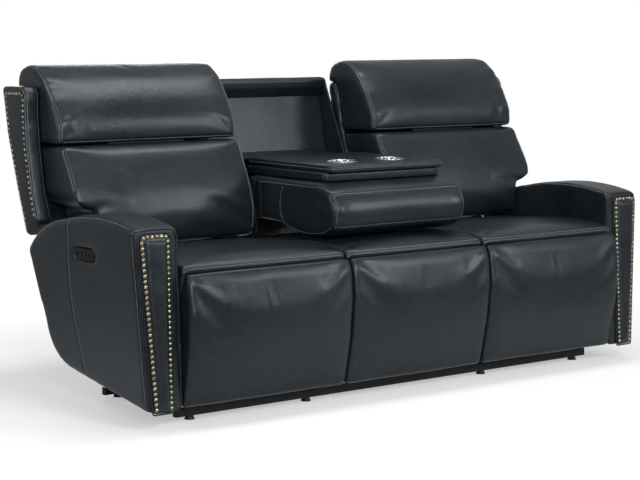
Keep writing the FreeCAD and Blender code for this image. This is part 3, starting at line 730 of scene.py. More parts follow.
def hide_grain():
    """Leather grain: fine pebbles, pores and a few long soft wrinkles."""
    nodes, takes, gives = effect(
        "hide_grain",
        [("Vector", "NodeSocketVector", None), ("Pebble Scale", "NodeSocketFloat", 520.0),
         ("Wrinkle Scale", "NodeSocketFloat", 26.0), ("Wrinkle Height", "NodeSocketFloat", 0.5)],
        [("Height", "NodeSocketFloat"), ("Pores", "NodeSocketFloat")])
    cells = nodes.add("ShaderNodeTexVoronoi", feature="DISTANCE_TO_EDGE")
    nodes.link(takes["Vector"], cells.inputs["Vector"])
    nodes.link(takes["Pebble Scale"], cells.inputs["Scale"])
    pores = nodes.remap(cells.outputs["Distance"], 0.0, 1.0, 0.0, 0.16)
    fine = nodes.noise(takes["Vector"], 1400.0, 2.0)
    warp = nodes.noise(takes["Vector"], takes["Wrinkle Scale"], 3.0, 0.55)
    ridge = nodes.maths("ABSOLUTE", nodes.maths("SUBTRACT", warp, 0.5), 0.0)
    fold = nodes.remap(ridge, 0.0, 1.0, 0.0, 0.09)
    small = nodes.maths("ADD", nodes.maths("MULTIPLY", pores, 0.22), nodes.maths("MULTIPLY", fine, 0.12))
    large = nodes.maths("MULTIPLY", fold, takes["Wrinkle Height"])
    nodes.link(nodes.maths("ADD", small, large), gives["Height"])
    nodes.link(pores, gives["Pores"])
    return nodes.tree


def cloudiness():
    """Slow uneven tone of a hide or paint, with finer mottling in it."""
    nodes, takes, gives = effect(
        "cloudiness",
        [("Vector", "NodeSocketVector", None), ("Scale", "NodeSocketFloat", 4.0)],
        [("Tone", "NodeSocketFloat"), ("Fine", "NodeSocketFloat")])
    slow = nodes.noise(takes["Vector"], takes["Scale"], 3.0, 0.6)
    quick = nodes.noise(takes["Vector"], nodes.maths("MULTIPLY", takes["Scale"], 9.0), 4.0, 0.6)
    nodes.link(nodes.remap(slow, 0.0, 1.0, 0.32, 0.68), gives["Tone"])
    nodes.link(nodes.remap(quick, 0.0, 1.0, 0.3, 0.7), gives["Fine"])
    return nodes.tree


groups = {}


def grouped(nodes, name, maker, vector, **values):
    """Place a shared effect in a material with its own values."""
    if name not in groups:
        groups[name] = maker()
    node = nodes.add("ShaderNodeGroup", node_tree=groups[name])
    nodes.link(vector, node.inputs["Vector"])
    for label, value in values.items():
        node.inputs[label.replace("_", " ")].default_value = value
    return node.outputs


def new_finish(name):
    """A material with its nodes, its shader and the object's own coordinates."""
    material = bpy.data.materials.new(name)
    material.use_nodes = True
    nodes = Nodes(material.node_tree)
    shader = material.node_tree.nodes["Principled BSDF"]
    place = nodes.add("ShaderNodeTexCoord").outputs["Object"]
    return material, nodes, shader, place


def set_bump(nodes, shader, height, strength, distance):
    """Feed a height into the shader's normal."""
    bump = nodes.add("ShaderNodeBump")
    bump.inputs["Strength"].default_value = strength
    bump.inputs["Distance"].default_value = distance
    nodes.link(height, bump.inputs["Height"])
    nodes.link(bump.outputs["Normal"], shader.inputs["Normal"])


def leather_finish(name, dark, mid, sheen_low, sheen_high, wrinkle=0.5):
    """Pull-up leather: dark, cloudy, semi-gloss, with painted shade darkening the colour along the seam
    grooves.
    """
    material, nodes, shader, place = new_finish(name)
    tone = grouped(nodes, "cloudiness", cloudiness, place, Scale=3.2)
    grain = grouped(nodes, "hide_grain", hide_grain, place, Wrinkle_Height=wrinkle)
    seam = nodes.add("ShaderNodeAttribute", attribute_name="seam_painted_shade").outputs["Fac"]
    base = nodes.blend(tone["Tone"], dark, mid)
    fine = nodes.blend(nodes.maths("MULTIPLY", tone["Fine"], 0.35), base, tuple(c * 1.6 for c in mid))
    # painted shade: the colour darkens along the seam grooves, where the seam attribute is high
    low = nodes.blend(nodes.maths("MULTIPLY", seam, 0.55), fine, tuple(c * 0.35 for c in dark))
    nodes.link(low, shader.inputs["Base Color"])
    gloss = nodes.remap(nodes.maths("ADD", nodes.maths("MULTIPLY", tone["Tone"], 0.7),
                                    nodes.maths("MULTIPLY", tone["Fine"], 0.3)), sheen_low, sheen_high)
    nodes.link(gloss, shader.inputs["Roughness"])
    shader.inputs["Specular IOR Level"].default_value = 0.36
    shader.inputs["Specular Tint"].default_value = (0.8, 0.91, 1, 1)
    shader.inputs["Coat Weight"].default_value = 0.15
    shader.inputs["Coat Roughness"].default_value = 0.22
    set_bump(nodes, shader, grain["Height"], 0.3, 0.0012)
    return material


def thread_finish():
    """Pale grey sewing thread with a twist."""
    material, nodes, shader, place = new_finish("topstitch_thread")
    twist = nodes.noise(place, 900.0, 2.0)
    nodes.link(nodes.blend(twist, (0.2, 0.21, 0.215), (0.42, 0.43, 0.43)), shader.inputs["Base Color"])
    shader.inputs["Roughness"].default_value = 0.65
    set_bump(nodes, shader, twist, 0.4, 0.0004)
    return material


def metal_finish(name, dark, bright, rough_low, rough_high, metallic, scale=60.0):
    """Metal with a cloudy polish and fine scratches."""
    material, nodes, shader, place = new_finish(name)
    tone = grouped(nodes, "cloudiness", cloudiness, place, Scale=scale)
    nodes.link(nodes.blend(tone["Tone"], dark, bright), shader.inputs["Base Color"])
    nodes.link(nodes.remap(tone["Fine"], rough_low, rough_high), shader.inputs["Roughness"])
    shader.inputs["Metallic"].default_value = metallic
    shader.inputs["Specular IOR Level"].default_value = 0.3
    fine = nodes.noise(place, 700.0, 3.0)
    set_bump(nodes, shader, fine, 0.08, 0.0003)
    return material


def plastic_finish(name, dark, pale, rough):
    """Moulded plastic with a fine spark-eroded texture."""
    material, nodes, shader, place = new_finish(name)
    tone = grouped(nodes, "cloudiness", cloudiness, place, Scale=30.0)
    nodes.link(nodes.blend(tone["Tone"], dark, pale), shader.inputs["Base Color"])
    nodes.link(nodes.remap(tone["Fine"], rough - 0.05, rough + 0.08), shader.inputs["Roughness"])
    shader.inputs["Specular IOR Level"].default_value = 0.3
    set_bump(nodes, shader, nodes.noise(place, 1800.0, 2.0), 0.12, 0.0002)
    return material


def board_finish():
    """Plywood with long grain streaks and ply lines."""
    material, nodes, shader, place = new_finish("deck_plywood")
    stretch = nodes.add("ShaderNodeMapping")
    stretch.inputs["Scale"].default_value = (2.0, 40.0, 160.0)
    nodes.link(place, stretch.inputs["Vector"])
    grain = nodes.noise(stretch.outputs["Vector"], 1.6, 5.0, 0.6)
    nodes.link(nodes.blend(grain, (0.045, 0.031, 0.02), (0.1, 0.074, 0.05)), shader.inputs["Base Color"])
    nodes.link(nodes.remap(grain, 0.75, 0.55), shader.inputs["Roughness"])
    set_bump(nodes, shader, grain, 0.2, 0.0006)
    return material


def cloth_finish():
    """Black woven dust cloth."""
    material, nodes, shader, place = new_finish("dust_cloth")
    weave = nodes.add("ShaderNodeTexWave", wave_type="BANDS", bands_direction="X")
    weave.inputs["Scale"].default_value = 300.0
    nodes.link(place, weave.inputs["Vector"])
    weft = nodes.add("ShaderNodeTexWave", wave_type="BANDS", bands_direction="Z")
    weft.inputs["Scale"].default_value = 300.0
    nodes.link(place, weft.inputs["Vector"])
    cross = nodes.maths("MULTIPLY", weave.outputs["Fac"], weft.outputs["Fac"])
    nodes.link(nodes.blend(cross, (0.006, 0.006, 0.007), (0.022, 0.022, 0.024)), shader.inputs["Base Color"])
    shader.inputs["Roughness"].default_value = 0.9
    set_bump(nodes, shader, cross, 0.4, 0.0004)
    return material


def floor_finish():
    """A plain pale studio floor that runs out into the white surround."""
    material, nodes, shader, place = new_finish("studio_floor")
    parts = nodes.add("ShaderNodeSeparateXYZ")
    nodes.link(place, parts.inputs[0])
    across = nodes.maths("MULTIPLY", parts.outputs["X"], 0.62)
    deep = nodes.maths("MULTIPLY", parts.outputs["Y"], 0.85)
    far = nodes.maths("SQRT", nodes.maths("ADD", nodes.maths("MULTIPLY", across, across),
                                          nodes.maths("MULTIPLY", deep, deep)), 0.0)
    fade = nodes.add("ShaderNodeMapRange", interpolation_type="SMOOTHSTEP")
    fade.inputs["From Min"].default_value = 0.75
    fade.inputs["From Max"].default_value = 1.7
    nodes.link(far, fade.inputs["Value"])
    white = nodes.remap(fade.outputs["Result"], 0.42, 1.0)
    seen = nodes.maths("MULTIPLY", seen_share(nodes), white)
    nodes.link(nodes.blend(fade.outputs["Result"], (0.62, 0.62, 0.62), (0.05, 0.05, 0.05)),
               shader.inputs["Base Color"])
    shader.inputs["Roughness"].default_value = 0.9
    shader.inputs["Specular IOR Level"].default_value = 0.0
    shader.inputs["Emission Color"].default_value = (1, 1, 1, 1)
    nodes.link(seen, shader.inputs["Emission Strength"])
    return material


LEATHER = leather_finish("slate_leather", (0.0046, 0.0069, 0.009), (0.0112, 0.0152, 0.0192), 0.25, 0.4)
THREAD = thread_finish()
BRASS = metal_finish("antique_brass", (0.14, 0.105, 0.065), (0.56, 0.48, 0.34), 0.2, 0.36, 1.0, 90.0)
CHROME = metal_finish("polished_chrome", (0.42, 0.43, 0.44), (0.56, 0.57, 0.58), 0.07, 0.15, 1.0)
STEEL = metal_finish("black_powder_coat", (0.008, 0.008, 0.009), (0.02, 0.02, 0.022), 0.42, 0.6, 0.0)
GLOSS_PLASTIC = plastic_finish("gloss_black_plastic", (0.002, 0.002, 0.0025), (0.004, 0.004, 0.005), 0.14)
MATT_PLASTIC = plastic_finish("matt_black_plastic", (0.006, 0.006, 0.0065), (0.012, 0.012, 0.013), 0.42)
PLYWOOD = board_finish()
DUST_CLOTH = cloth_finish()

NODE_FINISHES = {"frame_steel": STEEL, "board": PLYWOOD, "glide": MATT_PLASTIC, "control": GLOSS_PLASTIC,
                 "button": MATT_PLASTIC, "chrome": CHROME, "cover_cloth": DUST_CLOTH, "leather": LEATHER}


def finish_nodes():
    """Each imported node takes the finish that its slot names."""
    for row in frame["record"]["subparts"]:
        node = frame["nodes"][row["node"]]
        for slot in node.material_slots:
            slot.material = NODE_FINISHES[row["material_slot"]]


# ---------------------------------------------------------------- seats

SEAT_CROWN = [(2, DECK_TOP), (-32, 490), (-29, 503), (30, 516), (170, 521), (516, 498), (516, DECK_TOP)]
SEAT_RADII = [4, 5, 12, 60, 400, 16, 6]
NOSE = (-31.5, 497)


def seat_form(name, low, high):
    """A seat cushion before its stuffing."""
    outline = rounded(SEAT_CROWN, SEAT_RADII)
    piece = made(name, lofted(outline, soft_stations(low, high, 12, 15), (516, DECK_TOP), 0.6))
    revoxelled(piece, 9)
    held = [[(2, DECK_TOP), (516, DECK_TOP)], [(516, DECK_TOP), (516, 480)], [(2, DECK_TOP), (-32, 490)]]
    rim = [(NOSE[0], NOSE[1]), (30, 512), (170, 516), (516, 494)]
    stuff(piece, held, 7, [(low + 7, rim, 6), (high - 7, rim, 6)], 3.2, 14, (low - 0.5, high + 0.5))
    return piece


PAD_REST = (1.2, 1.7)


def pad_outline(rear):
    """The side outline of a front pad whose back lies at rear."""
    return [(rear, 60), (rear, 392), (-38, 484), (-48, 484), (-68, 452), (-81, 354), (-68, 230),
            (-34, 76), (-25, 60)]


def pad_form(name, low, high, rear):
    """A tall front pad before its stuffing."""
    outline = rounded(pad_outline(rear), [3, 6, 4, 8, 40, 60, 60, 14, 5])
    piece = made(name, lofted(outline, soft_stations(low, high, 13, 16), (rear, 226), 0.2))
    revoxelled(piece, 9)
    held = [[(rear, 60), (rear, 392), (-38, 484), (-46, 484)], [(rear, 60), (-25, 60)]]
    stuff(piece, held, 7, [], 1.2, 7, (low - 0.5, high + 0.5))
    return piece


def finish_seat(piece, side_name, low, high, body_pad, pad, seed):
    """Folds, the doubled nose seam and its stitching on a seat and its front pad."""
    refined(piece)
    undulate(piece, seed, 1.6, 190)
    nose = [spot(low + 4, -26, 486), spot(low + 9, NOSE[0], 497)]
    nose += [spot(x, NOSE[0], 499) for x in np.linspace(low + 22, high - 22, 12)]
    nose += [spot(high - 9, NOSE[0], 497), spot(high - 4, -26, 486)]
    runs = sew(piece, [seam(nose, 2.2, 3.4, 0.7)])
    stitched(side_name + "_seat_stitching", piece, doubled(runs[0], 4.5), "base", THREAD)
    dress(piece, LEATHER, "base")
    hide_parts(side_name + "_seat_cushion")

    refined(pad)
    undulate(pad, seed + 4, 2.0, 170)
    middle = (low + high) / 2
    crease(pad, [((middle - 30, -74, 440), (middle - 14, -84, 330), 8, 1.6),
                 ((middle - 8, -74, 445), (middle + 6, -82, 360), 8, -1.4),
                 ((low + 18, -70, 430), (low + 26, -66, 200), 12, 1.6),
                 ((low + 8, -40, 90), (low + 50, -52, 150), 9, -2.4),
                 ((high - 40, -76, 440), (high - 90, -82, 380), 12, 1.5)])
    edge = [spot(low + 8, -28, 64), spot(middle, -28, 64), spot(high - 8, -28, 64)]
    hem = sew(pad, [seam(edge, 1.2, 3.0, 0.5)])
    stitched(side_name + "_front_pad_stitching", pad, [(hem[0], -5)], body_pad, THREAD)
    dress(pad, LEATHER, body_pad)


# ---------------------------------------------------------------- backs

LUMBAR = [(524, 503), (474, 510), (464, 606), (490, 690), (528, 770), (566, 838), (606, 840),
          (768.1, 830), (725.1, 695), (671.1, 524), (656, 504)]
LUMBAR_RADII = [14, 24, 60, 120, 80, 18, 3, 4, 100, 8, 6]
HEAD = [(586, 843), (588, 912), (628, 985), (686, 1060), (744, 1099), (800, 1105),
        (850, 1088), (868, 1048), (864, 1020), (810, 1022), (768, 843)]
HEAD_RADII = [14, 50, 60, 60, 50, 60, 30, 12, 4, 4, 6]
BACK_ENDS = (18, 22)
END_SEAM = 8.0
OVERHANG_FOOT = 634.0
CORNER_RISE, CORNER_TOP = 52.0, 790.0
BACK_LOW, BACK_HIGH = -WING_INNER + SEAM_GAP, -BACK_INNER - SEAM_GAP


def cut_out(piece, block):
    """Take a block's form out of a piece."""
    cutter = made("cutter", block)
    cut = piece.modifiers.new("cut", "BOOLEAN")
    cut.object = cutter
    cut.solver = "EXACT"
    with_modifiers(piece)
    bpy.data.objects.remove(cutter)


def cut_away(piece, corner, outer, top):
    """Take the block between corner and outer, below top, off a piece that spans it."""
    block = bmesh.new()
    bmesh.ops.create_cube(block, size=1)
    low, high = min(corner, outer), max(corner, outer)
    bmesh.ops.scale(block, vec=((high - low) * MM, 0.8, 0.4), verts=block.verts[:])
    middle = spot((low + high) / 2, 600, top) - Vector((0, 0, 0.2))
    bmesh.ops.translate(block, vec=middle, verts=block.verts[:])
    cut_out(piece, block)


def turned_up_corner(piece):
    """Round the outer foot of a back cushion, where it hangs over the arm."""
    points = in_mm(points_of(piece.data))
    out = np.clip((np.abs(points[:, 0]) - SEAT_OUTER) / (WING_INNER - SEAM_GAP - SEAT_OUTER), 0, 1)
    lift = CORNER_RISE * (1 - np.sqrt(1 - 0.98 * out ** 2))
    share = np.clip((CORNER_TOP - points[:, 2]) / (CORNER_TOP - OVERHANG_FOOT), 0, 1)
    points[:, 2] += lift * share
    put_points(piece.data, out_of_mm(points))


def back_form():
    """The left back cushion before its stuffing."""
    piece = made("left_back_cushion_leather",
                 lofted(rounded(LUMBAR, LUMBAR_RADII), soft_stations(BACK_LOW, BACK_HIGH, *BACK_ENDS),
                        (740, 560), 0.15))
    cut_away(piece, -SEAT_OUTER + SEAM_GAP, -WING_INNER - 20, OVERHANG_FOOT)
    revoxelled(piece, 9, 8)
    turned_up_corner(piece)
    held = [[(656, 508), (671, 524), (725, 695), (768, 828)], [(524, 503), (656, 504)],
            [(606, 838), (768, 830)]]
    rim = [(480, 518), (466, 606), (490, 690), (528, 770), (566, 834)]
    stuff(piece, held, 7, [(BACK_LOW + 7, rim, 6), (BACK_HIGH - 7, rim, 6)], 3.4, 14,
          (BACK_LOW - 0.5, BACK_HIGH + 0.5))
    return piece


def head_form():
    """The left headrest before its stuffing."""
    piece = made("left_headrest_leather",
                 lofted(rounded(HEAD, HEAD_RADII), soft_stations(BACK_LOW, BACK_HIGH, *BACK_ENDS),
                        (830, 850), 0.5))
    revoxelled(piece, 8)
    held = [[(612, 843), (766, 843), (810, 1022), (862, 1020)], [(598, 846), (612, 843)]]
    rim = [(602, 858), (599, 912), (633, 985), (690, 1058), (744, 1097), (800, 1103), (848, 1086),
           (860, 1048)]
    stuff(piece, held, 7, [(BACK_LOW + 7, rim, 6), (BACK_HIGH - 7, rim, 6)], 3.4, 12,
          (BACK_LOW - 0.5, BACK_HIGH + 0.5))
    return piece


def finish_back(name, side, cushion, head, seed):
    """Seams, folds and stitching of one back and its headrest."""
    body = name + "_back"
    outer, inner = side * (WING_INNER - SEAM_GAP), side * (BACK_INNER + SEAM_GAP)
    refined(cushion)
    undulate(cushion, seed, 2.2, 210)
    far, near = outer - END_SEAM * side, inner + END_SEAM * side
    crease(cushion, [((side * 930, 508, 700), (side * 800, 478, 650), 22, 2.6),
                     ((side * 900, 540, 770), (side * 780, 508, 720), 16, -2.0),
                     ((side * 960, 530, 745), (side * 900, 512, 705), 10, -2.2),
                     ((side * 520, 474, 560), (side * 420, 478, 600), 20, 1.8)])
    front = [(496, 700), (532, 770), (570, 830)]
    whole = [(478, 536), (466, 606), (492, 690), (532, 770), (570, 830)]
    runs = sew(cushion, [seam([spot(far, y, z) for y, z in front], 2.4, 3.6, 1.0),
                         seam([spot(near, y, z) for y, z in whole], 2.4, 3.6, 1.0)])
    thread = stitched(name + "_back_stitching", cushion, doubled(runs[0], 4.2) + doubled(runs[1], 4.2),
                      body, THREAD)
    dress(cushion, LEATHER, body)
    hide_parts(name + "_back_cushion")
    # the cushion and its stitching each get a mesh of their own
    for soft in (cushion, thread):
        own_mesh(soft)

    refined(head)
    undulate(head, seed + 7, 1.8, 180)
    crease(head, [((side * 985, 606, 935), (side * 950, 600, 870), 12, 3.0),
                  ((side * 955, 612, 945), (side * 925, 600, 868), 12, -3.2),
                  ((side * 925, 604, 930), (side * 880, 599, 872), 14, 2.6),
                  ((side * 420, 604, 920), (side * 360, 600, 870), 12, 2.4),
                  ((side * 700, 760, 1100), (side * 640, 720, 1085), 14, -1.6)])
    loop = [(590, 852), (590, 912), (630, 985), (690, 1058), (744, 1097), (800, 1103), (846, 1086),
            (860, 1050)]
    foot = [spot(x, 586, 853) for x in np.linspace(outer - 20 * side, inner + 20 * side, 10)]
    runs = sew(head, [seam([spot(far, y, z) for y, z in loop], 2.4, 3.6, 1.0),
                      seam([spot(near, y, z) for y, z in loop], 2.4, 3.6, 1.0),
                      seam(foot, 1.4, 3.0, 0.5)])
    rows = doubled(runs[0], 4.2) + doubled(runs[1], 4.2) + [(runs[2], 3.0 * side)]
    stitched(name + "_headrest_stitching", head, rows, name + "_headrest", THREAD)
    dress(head, LEATHER, name + "_headrest")
    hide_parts(name + "_headrest")


# ---------------------------------------------------------------- arms

ARM_POINTS = [(0, 622), (190, 646), (440, 621), (570, 585), (668, 519), (683, 500), (673, 475),
              (592, 272), (545, 178), (437, 126), (-28, 55)]


def arm_outline():
    """The arm's side outline."""
    p = ARM_POINTS
    points = arc_through(p[0], p[1], p[2], 14) + arc_through(p[2], p[3], p[4], 10)
    points += arc_through(p[4], p[5], p[6], 6) + [p[6]]
    points += arc_through(p[7], p[8], p[9], 8) + [p[9], p[10]]
    return points


def arm_shear(points):
    """Lean the arm's outer face in towards its foot."""
    out = np.abs(points[:, 0]) - SEAT_OUTER
    share = np.interp(out, [14, 138, 154], [0, 0.9, 1.0])
    shift = share * ARM_TAPER * (ARM_TOP - points[:, 2]) / ARM_TOP
    points = points.copy()
    points[:, 0] -= np.sign(points[:, 0]) * shift
    return points


def out_of_mm(points):
    """Millimetres back to frame metres."""
    return points * MM + np.array([0, FRONT, 0])


def arm_form():
    """The left arm before its stuffing."""
    stations = [(-SEAT_OUTER, 2), (-SEAT_OUTER - 2, 0.5), (-SEAT_OUTER - 6, 0), (-SEAT_OUTER - 138, 0),
                (-SEAT_OUTER - 150, 3), (-SEAT_OUTER - 157, 8), (-SEAT_OUTER - ARM_WIDTH, 14)]
    stations = sorted(stations)
    piece = made("left_arm_leather", lofted(arm_outline(), stations))
    put_points(piece.data, out_of_mm(arm_shear(in_mm(points_of(piece.data)))))
    revoxelled(piece, 9.5, 2)
    return piece


CONTROL = (306.0, 517.0)
CONTROL_LONG, CONTROL_HIGH = 124.0, 39.0


def off_control(points):
    """Distance in the side view outside the control strip's oval, below 0 inside."""
    half = (CONTROL_LONG - CONTROL_HIGH) / 2
    y = np.clip(points[:, 1], CONTROL[0] - half, CONTROL[0] + half)
    return np.hypot(points[:, 1] - y, points[:, 2] - CONTROL[1]) - CONTROL_HIGH / 2


PANEL_LEAN_Y, PANEL_LEAN_Z, PANEL_HINGE_Z = 28.0, 567.0, 622.0
ARM_SEAM = [(400, 632), (405, 590), (410, 522), (409, 425), (399, 329), (376, 235), (347, 149), (338, 112)]


def arm_face(z):
    """How far out the arm's outer face lies at a height."""
    return SEAT_OUTER + ARM_WIDTH - ARM_TAPER * (ARM_TOP - z) / ARM_TOP


def finish_arm(name, side, piece, seed):
    """Seams, piping and the dimple round the control strip on one arm."""
    refined(piece)
    undulate(piece, seed, 1.2, 240)
    mesh = piece.data
    points = in_mm(points_of(mesh))
    face = (np.abs(points[:, 0]) > SEAT_OUTER + 90) & (points[:, 1] > 150) & (points[:, 1] < 460)
    off = off_control(points)
    sunk = np.where(off < 1.5, 17.0, 3.2 * np.exp(-((off - 1.5) / 13.0) ** 2))
    points[:, 0] -= np.where(face & (off < 60), side * sunk, 0)
    put_points(mesh, out_of_mm(points))

    down = [spot(side * arm_face(z), y, z) for y, z in ARM_SEAM]
    top = arm_outline()[1:24]
    ridge = [spot(side * (SEAT_OUTER + 151 - ARM_TAPER * (ARM_TOP - z) / ARM_TOP), y, z - 2) for y, z in top]
    inner_ridge = [spot(side * (SEAT_OUTER + 5), y, z - 3) for y, z in top[:14]]
    side_front = [spot(side * (arm_face(z) - 3), 12 - PANEL_LEAN_Y * (PANEL_HINGE_Z - z) / PANEL_LEAN_Z, z)
                  for z in np.linspace(600, 66, 20)]
    runs = sew(piece, [
        seam(down, 1.6, 3.2, 0.6),
        seam(ridge, 1.8, 3.2, 0.7),
        seam(inner_ridge, 1.4, 3.2, 0.5),
        seam(side_front, 1.4, 3.2, 0.4)])
    rows = [(runs[0], 3.6), (runs[1], -4.0 * side), (runs[2], 4.0 * side), (runs[3], 3.6 * side)]
    stitched(name + "_arm_stitching", piece, rows, "base", THREAD)
    dress(piece, LEATHER, "base")
    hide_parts(name + "_arm")
    tree = surface_of(piece)
    border = [spot(side * (SEAT_OUTER + 4), -24, 62), spot(side * (SEAT_OUTER + 4), 0, 596),
              spot(side * (SEAT_OUTER + 14), 2, 617), spot(side * (SEAT_OUTER + 80), 3, 622),
              spot(side * (arm_face(620) - 14), 2, 617), spot(side * (arm_face(596) - 4), 0, 596),
              spot(side * (arm_face(62) - 4), -24, 62)]
    places, leans = laid(tree, border, 6.0, 5)
    welt = tube(name + "_arm_front_welt", places + leans * 0.6 * MM, 3.6)
    dress(welt, LEATHER, "base")


# ---------------------------------------------------------------- arm front panels

PANEL_TOP_HALF, PANEL_FOOT_HALF = 56.0, 35.0
PANEL_FOOT_Z, PANEL_TOP_Z = 56.0, 607.0
PANEL_LEAN = math.atan2(PANEL_LEAN_Y, PANEL_LEAN_Z)
PANEL_FOOT_SHIFT, PANEL_SHIFT = -12.5, 7.0


def panel_outline(inset):
    """The raised front panel's outline in its own plane, as (across, up) for the right arm."""
    points = [(-PANEL_FOOT_HALF + PANEL_FOOT_SHIFT + inset, PANEL_FOOT_Z + inset),
              (PANEL_FOOT_HALF + PANEL_FOOT_SHIFT - inset, PANEL_FOOT_Z + inset),
              (PANEL_TOP_HALF - inset, PANEL_TOP_Z - inset), (-PANEL_TOP_HALF + inset, PANEL_TOP_Z - inset)]
    return rounded(points, [5, 5, max(4, 22 - inset), max(4, 22 - inset)], 6)


def panel_place(side, across, up, out):
    """A place on or off the leaning front of an arm."""
    drop = PANEL_HINGE_Z - up
    y = -drop * math.sin(PANEL_LEAN) - out * math.cos(PANEL_LEAN) - 0.3
    z = PANEL_HINGE_Z - drop * math.cos(PANEL_LEAN) + out * math.sin(PANEL_LEAN)
    return spot(side * (SEAT_OUTER + ARM_WIDTH / 2 + PANEL_SHIFT + across), y, z)


# how far in from the edge and how far out each ring of the puffed panel lies
PANEL_STEPS = ((0.6, 4.0), (2.6, 6.8), (7.0, 7.6), (12.0, 6.8), (14.0, 9.5), (18.0, 14.5), (23.0, 18.0),
               (29.5, 20.5))


def front_panel(name, side):
    """The puffed panel on an arm's front, with its nailheads."""
    bm = bmesh.new()
    ring = [bm.verts.new(panel_place(side, across, up, 0)) for across, up in panel_outline(0)]
    faces = [bm.faces.new(ring)]
    count = len(ring)
    for inset, out in PANEL_STEPS:
        grown = bmesh.ops.extrude_face_region(bm, geom=faces)
        faces = [item for item in grown["geom"] if isinstance(item, bmesh.types.BMFace)]
        loop = faces[0]
        room = panel_outline(inset)
        start = min(range(count), key=lambda k: (loop.verts[0].co - panel_place(side, *room[k], 0)).length)
        after = loop.verts[1].co
        step = 1 if (after - panel_place(side, *room[(start + 1) % count], 0)).length < \
            (after - panel_place(side, *room[start - 1], 0)).length else -1
        for number, vert in enumerate(loop.verts):
            across, up = room[(start + step * number) % count]
            vert.co = panel_place(side, across, up, out)
    bmesh.ops.recalc_face_normals(bm, faces=bm.faces[:])
    piece = made(name + "_arm_front_panel", bm)
    revoxelled(piece, 3.2, 6)
    undulate(piece, 3 + side, 1.3, 60)
    dress(piece, LEATHER, "base")
    row = spaced([panel_place(side, a, u, 9) for a, u in nail_line(8.5)], 16.4)
    nailed(name + "_arm_nailheads", piece, row, Vector((1, 0, 0.01)), unit_nail(6.6, 4.6), "base")
    edge = [panel_place(side, a, u, 2.0) for a, u in panel_outline(-2.5)]
    rows = spaced(edge + edge[:1], 6)
    welt = tube(name + "_arm_panel_welt", rows[:-1], 2.6, closed=True)
    dress(welt, LEATHER, "base")
    return piece


def nail_line(inset):
    """The nailheads' inverted U on a front panel, from foot to foot."""
    outline = panel_outline(inset)
    right = sorted([p for p in outline if p[0] > 0 and p[1] > 300], key=lambda p: p[1])
    left = [(-p[0], p[1]) for p in reversed(right)]
    foot_right = (PANEL_FOOT_HALF + PANEL_FOOT_SHIFT - inset, PANEL_FOOT_Z + 14)
    foot_left = (-PANEL_FOOT_HALF + PANEL_FOOT_SHIFT + inset, PANEL_FOOT_Z + 14)
    return [foot_right] + right + left + [foot_left]


NAIL_SINK = 0.4


def unit_nail(radius, height):
    """One domed nailhead on the xy plane."""
    bm = bmesh.new()
    bmesh.ops.create_uvsphere(bm, u_segments=10, v_segments=8, radius=radius * MM)
    half = bm.verts[:] + bm.edges[:] + bm.faces[:]
    bmesh.ops.bisect_plane(bm, geom=half, plane_co=(0, 0, 0), plane_no=(0, 0, 1), clear_inner=True)
    bmesh.ops.scale(bm, vec=(1, 1, height / radius), verts=bm.verts[:])
    mesh = bpy.data.meshes.new("unit_nail")
    bm.to_mesh(mesh)
    bm.free()
    mesh.shade_smooth()
    return mesh


def nailed(name, piece, row, along, nail, body):
    """Drive a row of nailheads into a piece."""
    tree = surface_of(piece)
    places = []
    for point in row:
        place, lean, _, _ = tree.find_nearest(Vector(point))
        places.append(frame_at(place - lean * NAIL_SINK * MM, along, lean))
    dress(placed_copies(name, nail, places), BRASS, body)


# ---------------------------------------------------------------- wings

WING = [(634, 587), (672, 690), (698, 824), (708, 922), (706, 1004), (728, 1034), (874, 1030),
        (836, 850), (780, 695), (718, 541), (704, 537)]
WING_RADII = [14, 100, 200, 120, 20, 18, 10, 200, 200, 8, 6]
WING_OUTER = 1074.0


def wing_form():
    """The left side wing."""
    low, high = -WING_OUTER, -WING_INNER
    stations = [(low, 7), (low + 2.5, 3), (low + 8, 0), (high - 4, 0), (high, 3)]
    piece = made("left_wing_leather", lofted(rounded(WING, WING_RADII), stations))
    revoxelled(piece, 7)
    stuff(piece, [[(760, 700), (790, 800)]], 12, [(low + 3, WING, 6)], 1.5, 4, (low - 2, high + 1))
    return piece


def finish_wing(name, side, piece, seed):
    """Seams, nailheads and stitching on one wing."""
    refined(piece)
    undulate(piece, seed, 0.9, 120)
    body = name + "_back"
    face = side * (WING_OUTER - 1)
    front = [(645, 600), (672, 690), (698, 824), (708, 922), (707, 1004), (728, 1030)]
    rim = [spot(side * (WING_OUTER - 4), y + 2, z) for y, z in front]
    strip = [spot(side * (WING_INNER + 8), y - 2, z) for y, z in front]
    runs = sew(piece, [seam(rim, 2.0, 3.0, 0.7), seam(strip, 1.2, 2.6, 0.4)])
    rows = doubled(runs[0], 4.0) + [(runs[1], 2.6 * side)]
    stitched(name + "_wing_stitching", piece, rows, body, THREAD)
    dress(piece, LEATHER, body)
    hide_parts(name + "_wing")
    inset = [(662, 612), (690, 700), (716, 824), (726, 922), (725, 995), (736, 1008), (846, 1006),
             (818, 852), (764, 700), (712, 560)]
    row = spaced([spot(face, y, z) for y, z in inset], 18.2)
    nailed(name + "_wing_nailheads", piece, row, Vector((0, 1, 0.01)), unit_nail(5.0, 3.6), body)


# ---------------------------------------------------------------- console

CONSOLE = [(144, 712), (76, 686), (48, 622), (60, 560), (118, 534), (228, 527), (372, 560), (556, 566),
           (562, 712)]
CONSOLE_RADII = [24, 26, 60, 34, 40, 200, 60, 8, 10]
CONSOLE_HALF = 284.0
CONSOLE_BULGE = 5.5
CONSOLE_BOW = [(346, 688), (362, 650), (362, 596), (338, 560), (262, 540), (184, 535), (116, 544), (76, 566)]


